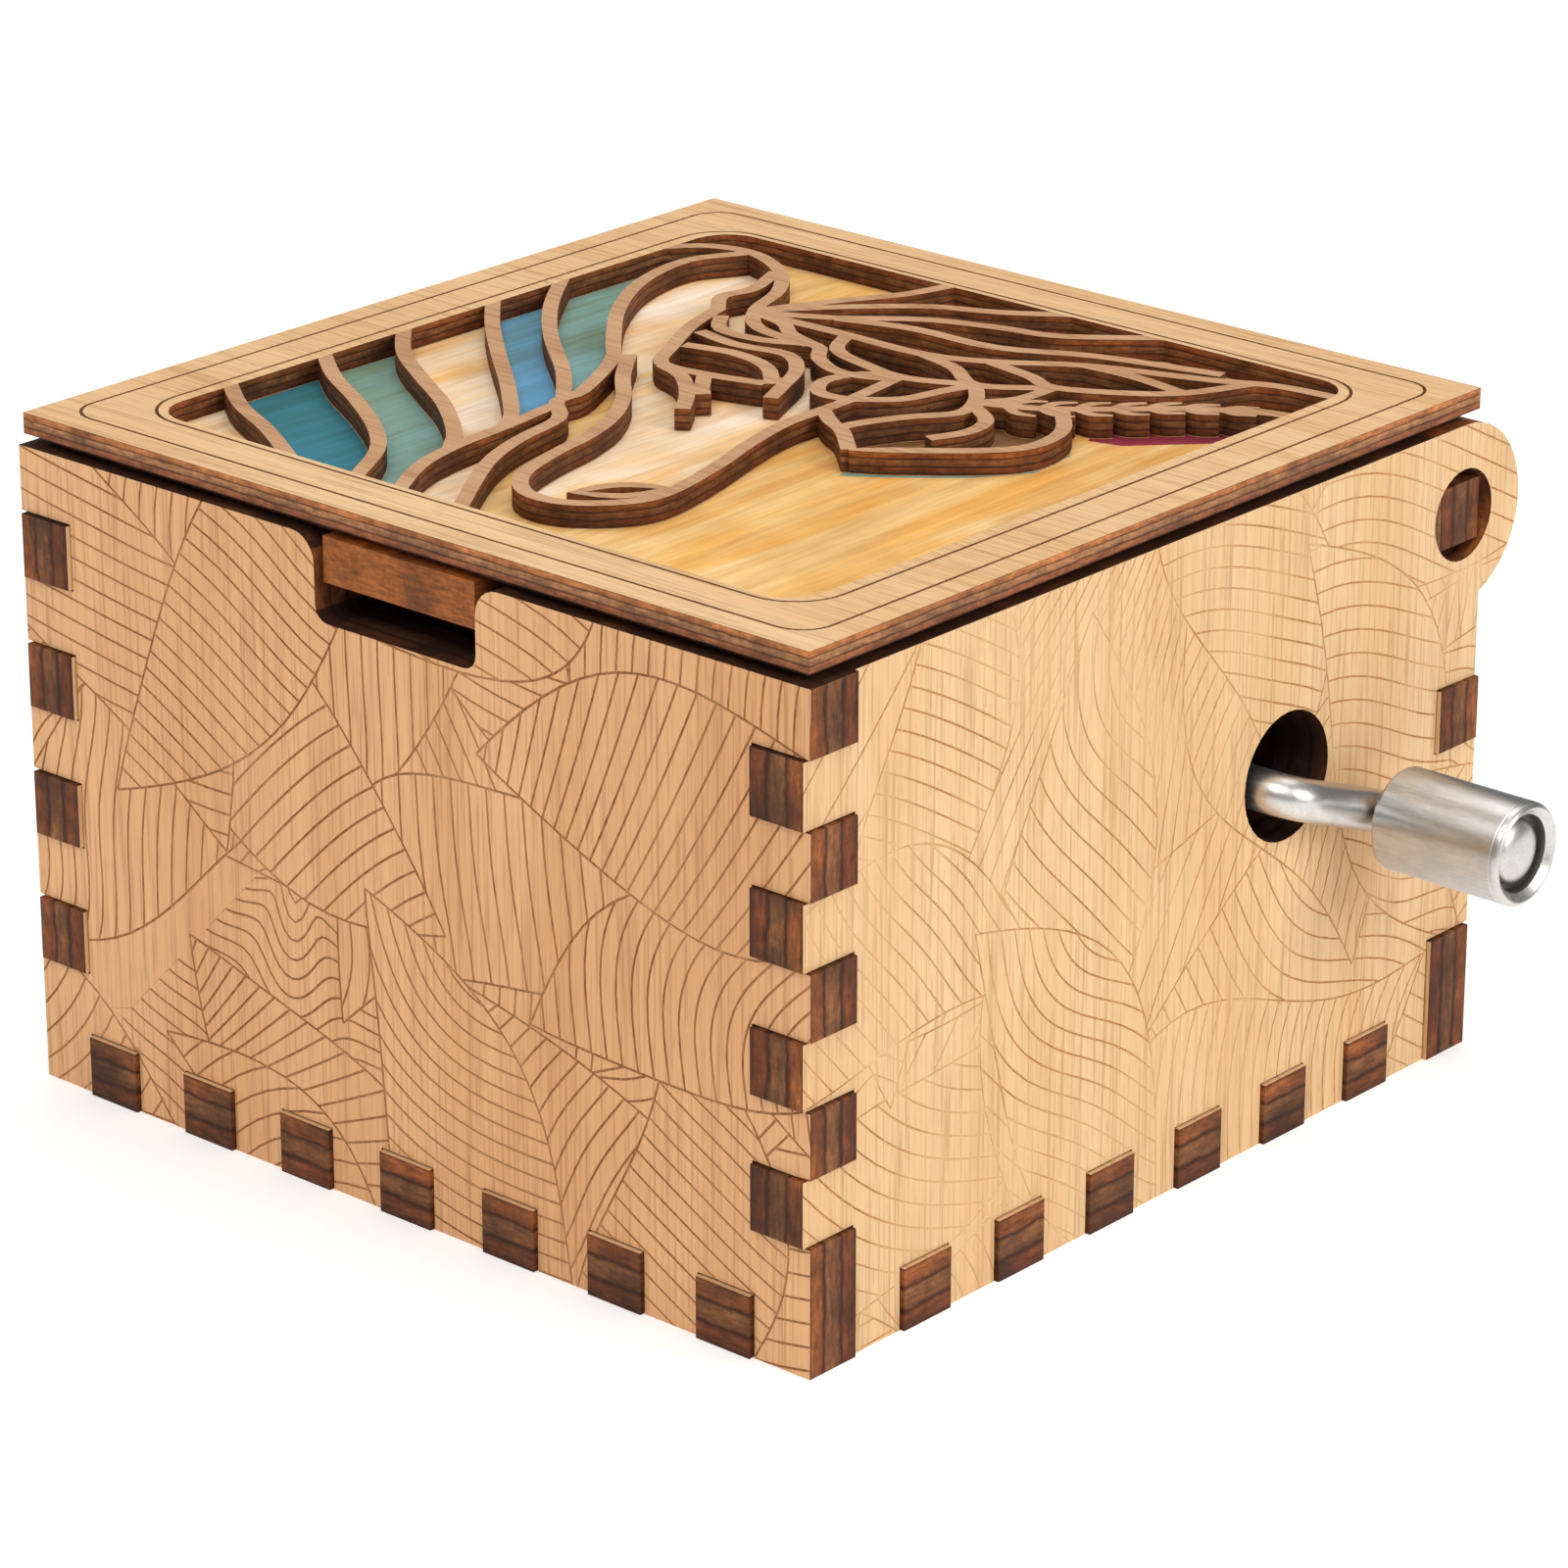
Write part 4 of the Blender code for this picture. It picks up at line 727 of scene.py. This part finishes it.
WALLS = {
    # node: (axis, side, birch (pale, warm), line (dark, light), line width, how faint the lines get, seed)
    "front_panel": ("y", -1, ((0.765, 0.427, 0.202), (0.685, 0.348, 0.150)),
                    ((0.24, 0.086, 0.027), (0.46, 0.205, 0.075)), 0.16, 0.25, 11),
    "right_panel": ("x", 1, ((0.735, 0.497, 0.263), (0.700, 0.427, 0.200)),
                    ((0.42, 0.190, 0.068), (0.62, 0.34, 0.14)), 0.13, 0.8, 23),
    "left_panel": ("x", -1, ((0.760, 0.480, 0.250), (0.690, 0.400, 0.190)),
                   ((0.17, 0.070, 0.024), (0.40, 0.19, 0.07)), 0.15, 0.25, 37),
    "back_panel": ("y", 1, ((0.760, 0.480, 0.250), (0.690, 0.400, 0.190)),
                   ((0.17, 0.070, 0.024), (0.40, 0.19, 0.07)), 0.15, 0.25, 52),
}


def make_walls():
    for node, (axis, side, birch, line, width, faint, seed) in WALLS.items():
        low, high = node_box(node)
        u, v = flat_axes(axis)
        lines = wave_pattern((low[u], low[v]), (high[u], high[v]), seed)
        planes = outer_plane(node, axis, side)
        materials = [birch_material(f"{node}_birch", "z", *birch, seed * 0.01),
                     groove_material(f"{node}_line", "z", *line, birch[0], faint),
                     edge_material(f"{node}_edge", axis, *planes),
                     # heavy char and a darker tone: painted shade for the top edges under the lid and the crank
                     # hole's wall
                     edge_material(f"{node}_soot", axis, *planes, 1.0, (0.5, 0.5, 0.54))]
        engraved_piece(f"{node}_engraved", node, axis, side, lines, materials, painted_shade_edges, width)


def painted_shade_edges(kind, normal, middle):
    """Picks edges darkened as painted shade: the top edges under the lid and the wall of the crank hole."""
    y, z, radius = CRANK_HOLE
    in_hole = middle.x > 0.0 and math.hypot(middle.y - y, middle.z - z) < radius
    hinge = millimetres(JOINTS["lid_hinge"]["pos_m"])
    on_top = normal.z > 0.5 and middle.z > SHADE_EDGE_START and middle.y < hinge.y - LUG_REACH
    return PICKED if kind == EDGE and (in_hole or on_top) else kind


def in_window(kind, normal, middle):
    """Picks the tops of the fretwork's strips, and gives the cut sides in the window the inner material."""
    offset, half, radius = WINDOW
    past = [max(abs(place) - half + radius, 0.0) for place in (middle.x, middle.y - offset)]
    if math.hypot(*past) < radius:
        return {FACE: PICKED if normal.z > 0.9 else FACE, EDGE: INNER}.get(kind, kind)
    return kind


def rounded_halves(centre, half, radius, steps=8):
    """A rounded rectangle as two lines that meet end to end."""
    points = []
    for sign_x, sign_y, start in ((1, 1, 0), (-1, 1, 90), (-1, -1, 180), (1, -1, 270)):
        for step in range(steps + 1):
            angle = math.radians(start + 90 * step / steps)
            points.append(Vector((centre[0] + sign_x * (half[0] - radius) + radius * math.cos(angle),
                                  centre[1] + sign_y * (half[1] - radius) + radius * math.sin(angle))))
    middle = len(points) // 2
    join_right = (points[0] + points[-1]) / 2
    join_left = (points[middle - 1] + points[middle]) / 2
    return [[join_right, *points[:middle], join_left], [join_left, *points[middle:], join_right]]


def make_fretwork():
    """The lid's top sheet: pale frame with two engraved lines, browner strips, dark cut sides."""
    node = "lid_fretwork"
    low, high = node_box(node)
    centre = ((low.x + high.x) / 2, (low.y + high.y) / 2)
    half = ((high.x - low.x) / 2, (high.y - low.y) / 2)
    grooves = []
    for inset, radius in FRAME_INSETS:
        grooves += rounded_halves(centre, (half[0] - inset, half[1] - inset), radius)
    materials = [birch_material("fretwork_birch", "x", (0.79, 0.53, 0.285), (0.75, 0.45, 0.215)),
                 groove_material("fretwork_line", "x", (0.10, 0.036, 0.014), (0.24, 0.10, 0.035)),
                 edge_material("fretwork_edge", "z", high.z, low.z, 0.22, (1.65, 1.80, 1.70)),
                 birch_material("fretwork_strip", "x", (0.60, 0.350, 0.190), (0.52, 0.275, 0.135)),
                 edge_material("fretwork_inner", "z", high.z, low.z, 0.46)]
    engraved_piece("fretwork_engraved", node, "z", 1, grooves, materials, in_window, *FRAME_LINE)


PAINTED = (
    # a place inside an opening of the fretwork, seen from above in millimetres, and its paint
    ((-20.8, -26.4), "cream"), ((-20.6, -19.4), "deep"), ((-22.6, -11.1), "teal"), ((-25.8, -1.2), "cream"),
    ((-25.9, 6.0), "blue"), ((-23.5, 13.0), "teal"), ((1.3, -9.8), "cream"), ((-2.8, -25.3), "cream"),
    ((25.0, -10.5), "orange"), ((-12.9, 25.8), "orange"), ((14.4, 25.4), "amber"), ((-3.4, 25.8), "amber"),
    ((6.0, 25.8), "umber"), ((25.6, 21.2), "yellow"), ((10.5, -0.1), "umber"), ((6.3, 2.6), "umber"),
    ((12.0, 16.2), "umber"), ((-14.5, 14.8), "cream"), ((1.3, 11.6), "umber"), ((-5.6, 12.3), "umber"),
)


TOUCHES = (
    # shadows painted on the orange ground, below the plume and outside the hanging loop
    ("rose", ((17.0, 12.0), (20.8, 15.8), (24.6, 18.2), (26.6, 19.4), (25.2, 16.6), (22.3, 13.6),
              (19.8, 11.0), (17.6, 10.4))),
    ("teal", ((17.6, 7.4), (18.2, 3.8), (16.2, 1.2), (12.4, -2.0), (10.2, -3.6), (10.6, -4.7),
              (12.9, -3.1), (16.7, 0.1), (19.1, 3.4), (18.7, 7.5))),
)


def make_picture():
    """The painted sheet: each opening of the fretwork shows one paint."""
    node = "lid_picture"
    low, high = node_box(node)
    sheet = [Vector(p) for p in ((low.x, low.y), (high.x, low.y), (high.x, high.y), (low.x, high.y))]
    cells = face_loops("lid_fretwork", "z", 1)[1:]
    touches = [anticlockwise([Vector(p) for p in outline]) for _, outline in TOUCHES]
    points, faces = [], []
    for outline in [sheet, *cells, *touches]:
        faces.append(list(range(len(points), len(points) + len(outline))))
        points += outline
    flat, _, triangles, _, _, sources = delaunay_2d_cdt(points, [], faces, 0, 2e-4, True)
    bm = bmesh.new()
    paint = bm.loops.layers.float_color.new("paint")
    verts = [bm.verts.new(Vector((p.x, p.y, high.z)) * MM) for p in flat]
    for triangle, source in zip(triangles, sources, strict=True):
        face = bm.faces.new([verts[corner] for corner in triangle])
        cell = next((number for number in source if 1 <= number <= len(cells)), 0)
        touch = max(source) - len(cells) - 1
        colour = paint_of_cell(cells[cell - 1]) if cell else "bare"
        if colour == "orange" and touch >= 0:
            colour = TOUCHES[touch][0]
        for corner in face.loops:
            corner[paint] = (*PAINTS[colour], 1.0)
    bmesh.ops.delete(bm, geom=[w for w in bm.verts if not w.link_faces], context="VERTS")
    rim = [e for e in bm.edges if len(e.link_faces) == 1]
    grown = bmesh.ops.extrude_edge_only(bm, edges=rim)["geom"]
    for vert in (g for g in grown if isinstance(g, bmesh.types.BMVert)):
        vert.co.z = low.z * MM
    for face in (g for g in grown if isinstance(g, bmesh.types.BMFace)):
        face.material_index = 1
    under = bmesh.ops.contextual_create(bm, geom=[g for g in grown if isinstance(g, bmesh.types.BMEdge)])
    for face in under["faces"]:
        face.material_index = 2
    bmesh.ops.recalc_face_normals(bm, faces=bm.faces)
    materials = [paint_material("picture_paint"), edge_material("picture_edge", "z", high.z, low.z, 0.9),
                 birch_material("picture_birch", "x", *BARE_BIRCH)]
    finished("picture_painted", bm, materials, node)


def paint_of_cell(cell):
    """The paint of a fretwork opening; the small openings between the feathers are umber."""
    for place, colour in PAINTED:
        if inside_loop(Vector(place), cell):
            return colour
    return "umber"


def inside_loop(point, loop):
    """Whether a point lies in a closed outline."""
    inside = False
    for a, b in zip(loop, loop[1:] + loop[:1], strict=True):
        if (a.y > point.y) != (b.y > point.y):
            if point.x < a.x + (b.x - a.x) * (point.y - a.y) / (b.y - a.y):
                inside = not inside
    return inside


def dress_node(node, *materials, choose=None):
    """Give a CAD node its materials; choose says which one a polygon takes."""
    mesh = frame["nodes"][node].data
    mesh.materials.clear()
    for material in materials:
        mesh.materials.append(material)
    if choose is not None:
        for polygon in mesh.polygons:
            polygon.material_index = choose(polygon)


def make_plain_wood():
    """Base, inner plate and hinge bar keep their CAD shape: pale faces and scorched edges."""
    tongue_start = node_box("front_panel")[1].y * MM
    for node, axis in (("base_plate", "z"), ("lid_inner_plate", "z"), ("hinge_bar", "y")):
        low, high = node_box(node)
        k = AXES[axis]
        face = birch_material(f"{node}_birch", "x", *BARE_BIRCH)
        edge = edge_material(f"{node}_edge", axis, high[k], low[k])
        # The tongue's faces, its top face too, take the colour of one scorched ply; on the top face, under the
        # lid, this is painted shade.
        tongue = edge_material(f"{node}_tongue", axis, high[k], low[k], 0.1, (1.15, 1.08, 0.66), ply=0.16)

        def choose(polygon, k=k):
            if polygon.center.z > TONGUE_HEIGHT * MM and polygon.center.y < tongue_start:
                return 2
            return 0 if abs(polygon.normal[k]) > 0.9 else 1

        dress_node(node, face, edge, tongue, choose=choose)


def make_metal():
    """Give every metal node its finish."""
    looks = {"plated_steel": metal_material("plated_steel", (0.69, 0.665, 0.635), 0.27, 0.05),
             "brass": metal_material("worn_brass", (0.72, 0.50, 0.21), 0.22),
             "cast_zinc": metal_material("cast_zinc", (0.40, 0.41, 0.43), 0.40, 0.3),
             "comb_steel": metal_material("ground_steel", (0.60, 0.62, 0.66), 0.24),
             "screw_steel": metal_material("screw_steel", (0.66, 0.65, 0.62), 0.24)}
    for node, slot in SLOTS.items():
        if slot in looks:
            dress_node(node, looks[slot])
    return looks


def grow_ring(bm, edges, matrix=None, spin=None):
    """Carry an open ring of edges on, by a matrix or round an axis, and give the new ring."""
    if spin:
        centre, axis, angle, steps = spin
        geom = [*edges, *dict.fromkeys(v for e in edges for v in e.verts)]
        grown = bmesh.ops.spin(bm, geom=geom, cent=centre, axis=axis, dvec=(0, 0, 0), angle=angle,
                               steps=steps, space=Matrix(), use_duplicate=False)
        return [g for g in grown["geom_last"] if isinstance(g, bmesh.types.BMEdge)]
    grown = bmesh.ops.extrude_edge_only(bm, edges=edges)["geom"]
    verts = [g for g in grown if isinstance(g, bmesh.types.BMVert)]
    bmesh.ops.transform(bm, matrix=matrix, verts=verts)
    ring = set(verts)
    return [g for g in grown if isinstance(g, bmesh.types.BMEdge) and ring.issuperset(g.verts)]


def make_crank(steel):
    """The bent wire with round bends: shaft, elbow, arm, elbow, pin and the domed rivet head."""
    low, high = (corner * MM for corner in node_box("crank"))
    shaft, pin = (Vector(JOINTS[name]["pos_m"]) for name in ("crank_turn", "knob_spin"))
    arm = Vector((0.0, pin.y - shaft.y, pin.z - shaft.z))
    out, ahead = arm.normalized(), Vector((1.0, 0.0, 0.0))
    side = ahead.cross(out)
    bend = BEND_RADIUS * MM
    bm = bmesh.new()
    start = Matrix.Translation((low.x, shaft.y, shaft.z)) @ Matrix.Rotation(math.radians(90), 4, "Y")
    bmesh.ops.create_circle(bm, cap_ends=False, radius=WIRE * MM, segments=40, matrix=start)
    ring = list(bm.edges)
    bmesh.ops.contextual_create(bm, geom=ring)
    ring = grow_ring(bm, ring, Matrix.Translation(ahead * (shaft.x - bend - low.x)))
    ring = grow_ring(bm, ring, spin=(shaft + (out - ahead) * bend, side, math.radians(90), 12))
    ring = grow_ring(bm, ring, Matrix.Translation(out * (arm.length - 2 * bend)))
    ring = grow_ring(bm, ring, spin=(shaft + arm + (ahead - out) * bend, side, math.radians(-90), 12))
    seat = node_box("knob")[1].x * MM - (KNOB_RECESS[1] - 0.1) * MM
    ring = grow_ring(bm, ring, Matrix.Translation(ahead * (seat - shaft.x - bend)))
    centre = Vector((0.0, pin.y, pin.z))
    here, radius = seat, WIRE
    height = high.x - seat
    for share, rise in ((1.0, 0.0), (1.0, 0.12), (0.97, 0.25), (0.88, 0.50), (0.72, 0.72), (0.50, 0.88),
                        (0.24, 0.97), (0.06, 1.0)):
        wanted = share * RIVET_RADIUS
        about = Matrix.Translation(centre) @ Matrix.Diagonal((1.0, wanted / radius, wanted / radius, 1.0))
        there = seat + rise * height
        step = about @ Matrix.Translation(-centre) @ Matrix.Translation((there - here, 0.0, 0.0))
        ring = grow_ring(bm, ring, step)
        here, radius = there, wanted
    bmesh.ops.contextual_create(bm, geom=ring)
    bmesh.ops.recalc_face_normals(bm, faces=bm.faces)
    finished("crank_wire", bm, [steel], "crank", smooth=42)


def turned(profile, start, steps=72):
    """A body turned about a line along X through start; the profile is (along, radius) in millimetres."""
    bm = bmesh.new()
    verts = [bm.verts.new(start + Vector((along, 0.0, radius)) * MM) for along, radius in profile]
    edges = [bm.edges.new(pair) for pair in zip(verts, verts[1:] + verts[:1], strict=True)]
    bmesh.ops.spin(bm, geom=verts + edges, cent=start, axis=(1, 0, 0), dvec=(0, 0, 0),
                   angle=math.radians(360), steps=steps, space=Matrix(), use_merge=True, use_duplicate=False)
    bmesh.ops.recalc_face_normals(bm, faces=bm.faces)
    return bm


def make_knob(steel):
    """Turned sleeve with rolled ends, a bright rim, a flared bore and a hollow outer end."""
    low, high = node_box("knob")
    pin = JOINTS["knob_spin"]["pos_m"]
    length = high.x - low.x
    radius = (high.y - low.y) / 2
    hollow, depth = KNOB_RECESS
    profile = [(0.40, KNOB_BORE), (0.0, KNOB_BORE + 0.15), (0.0, radius - 0.40), (0.04, radius - 0.22),
               (0.14, radius - 0.07), (0.32, radius),
               (length - 0.62, radius), (length - 0.58, radius - 0.05), (length - 0.50, radius - 0.05),
               (length - 0.46, radius), (length - 0.24, radius - 0.03), (length - 0.07, radius - 0.16),
               (length, radius - 0.30), (length - 0.05, radius - 0.42), (length - 0.34, hollow + 0.12),
               (length - 0.42, hollow), (length - depth, hollow), (length - depth, KNOB_BORE)]
    bm = turned(profile, Vector((low.x * MM, pin[1], pin[2])))
    for face in bm.faces:
        middle = face.calc_center_median()
        face.material_index = 1 if abs(face.normal.x) < 0.2 else 0
        off_axis = math.hypot(middle.y - pin[1], middle.z - pin[2])
        # the faces in the hollow take the dark steel, as painted shade in the recess
        if off_axis < (hollow + 0.01) * MM and middle.x > (high.x - depth - 0.01) * MM:
            face.material_index = 2
    sleeve = metal_material("turned_steel", (0.68, 0.70, 0.715), 0.32, 0.08, 0.85)
    # dark steel for the hollow: painted shade in the recess
    shadowed = metal_material("hollow_steel", (0.26, 0.255, 0.24), 0.30, 0.2)
    finished("knob_turned", bm, [steel, sleeve, shadowed], "knob", smooth=30)


def make_drum_pins(steel):
    """The tune: short pins in the drum's shell, in one ring for each tooth of the comb."""
    low, high = node_box("drum_shell")
    comb_low, comb_high = node_box("comb")
    axis = Vector(JOINTS["cylinder_spin"]["pos_m"])
    radius = (high.z - low.z) / 2
    draw = random.Random(5)
    pitch = (comb_high.y - comb_low.y) / TEETH
    lift = Matrix.Translation((0.0, 0.0, (radius + PIN_RISE / 2 - PIN_ROOT / 2) * MM))
    bm = bmesh.new()
    for tooth in range(TEETH):
        y = comb_low.y + (tooth + 0.5) * pitch
        for beat in draw.sample(range(BEATS), draw.randint(*PINS_PER_TOOTH)):
            turn = Matrix.Rotation(2 * math.pi * beat / BEATS, 4, "Y")
            place = Matrix.Translation((axis.x, y * MM, axis.z)) @ turn
            bmesh.ops.create_cone(bm, cap_ends=True, segments=8, radius1=PIN_RADIUS * MM,
                                  radius2=PIN_RADIUS * 0.75 * MM, depth=(PIN_RISE + PIN_ROOT) * MM,
                                  matrix=place @ lift)
    piece = finished("drum_pins", bm, [steel], body="cylinder", smooth=40)


LAMPS = (
    # name, place and size in metres, power in watts
    ("key", (0.25, -0.45, 0.70), 0.45, 2.9),
    ("side", (0.70, 0.05, 0.40), 0.40, 2.9),
    ("top", (-0.10, 0.25, 0.80), 0.50, 2.2),
    ("left", (-0.7, -0.5, 0.35), 0.4, 1.0),
)


def make_stage():
    """Pale floor, soft light and the camera."""
    bpy.context.scene.view_settings.view_transform = "Standard"
    bm = bmesh.new()
    bmesh.ops.create_grid(bm, x_segments=1, y_segments=1, size=6.0)
    mesh = bpy.data.meshes.new("floor")
    bm.to_mesh(mesh)
    bm.free()
    floor = bpy.data.objects.new("floor", mesh)
    bpy.context.scene.collection.objects.link(floor)
    white, _, shader = new_material("floor_white")
    shader.inputs["Base Color"].default_value = (0.90, 0.90, 0.90, 1.0)
    shader.inputs["Roughness"].default_value = 0.9
    shader.inputs["Emission Color"].default_value = (1.0, 1.0, 1.0, 1.0)
    shader.inputs["Emission Strength"].default_value = 0.30
    mesh.materials.append(white)
    floor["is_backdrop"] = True
    world = bpy.data.worlds.new("studio")
    bpy.context.scene.world = world
    world.use_nodes = True
    sky = Nodes(world.node_tree)
    parts = sky.add("ShaderNodeSeparateXYZ")
    sky.link(sky.add("ShaderNodeTexCoord").outputs["Generated"], parts.inputs[0])
    glow = sky.ramp(parts.outputs["Z"], [(0.0, 0.50), (0.20, 0.35), (0.45, 0.55), (0.75, 1.0)])
    background = world.node_tree.nodes["Background"]
    sky.link(glow, background.inputs["Color"])
    background.inputs["Strength"].default_value = 0.36
    for name, place, size, power in LAMPS:
        lamp = bpy.data.lights.new(name, "AREA")
        lamp.size = size
        lamp.energy = power
        holder = bpy.data.objects.new(name, lamp)
        bpy.context.scene.collection.objects.link(holder)
        holder.location = place
        holder.rotation_euler = (Vector((0, 0, 0.02)) - Vector(place)).to_track_quat("-Z", "Y").to_euler()
    camera = bpy.data.cameras.new("camera")
    camera.sensor_width = 36.0
    camera.lens = 140.2
    camera.clip_start, camera.clip_end = 0.02, 20.0
    holder = bpy.data.objects.new("camera", camera)
    bpy.context.scene.collection.objects.link(holder)
    holder.location = (0.23862, -0.26777, 0.16011)
    azimuth, elevation = math.radians(41.46), math.radians(21.49)
    ahead = Vector((-math.sin(azimuth) * math.cos(elevation), math.cos(azimuth) * math.cos(elevation),
                    -math.sin(elevation)))
    holder.rotation_euler = ahead.to_track_quat("-Z", "Y").to_euler()
    bpy.context.scene.camera = holder


make_stage()
make_walls()
make_fretwork()
make_picture()
make_plain_wood()
metals = make_metal()
make_crank(metals["plated_steel"])
make_knob(metals["plated_steel"])
make_drum_pins(metals["comb_steel"])

corners = [[*corner] for corner in (*CAD_BOX, *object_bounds())]
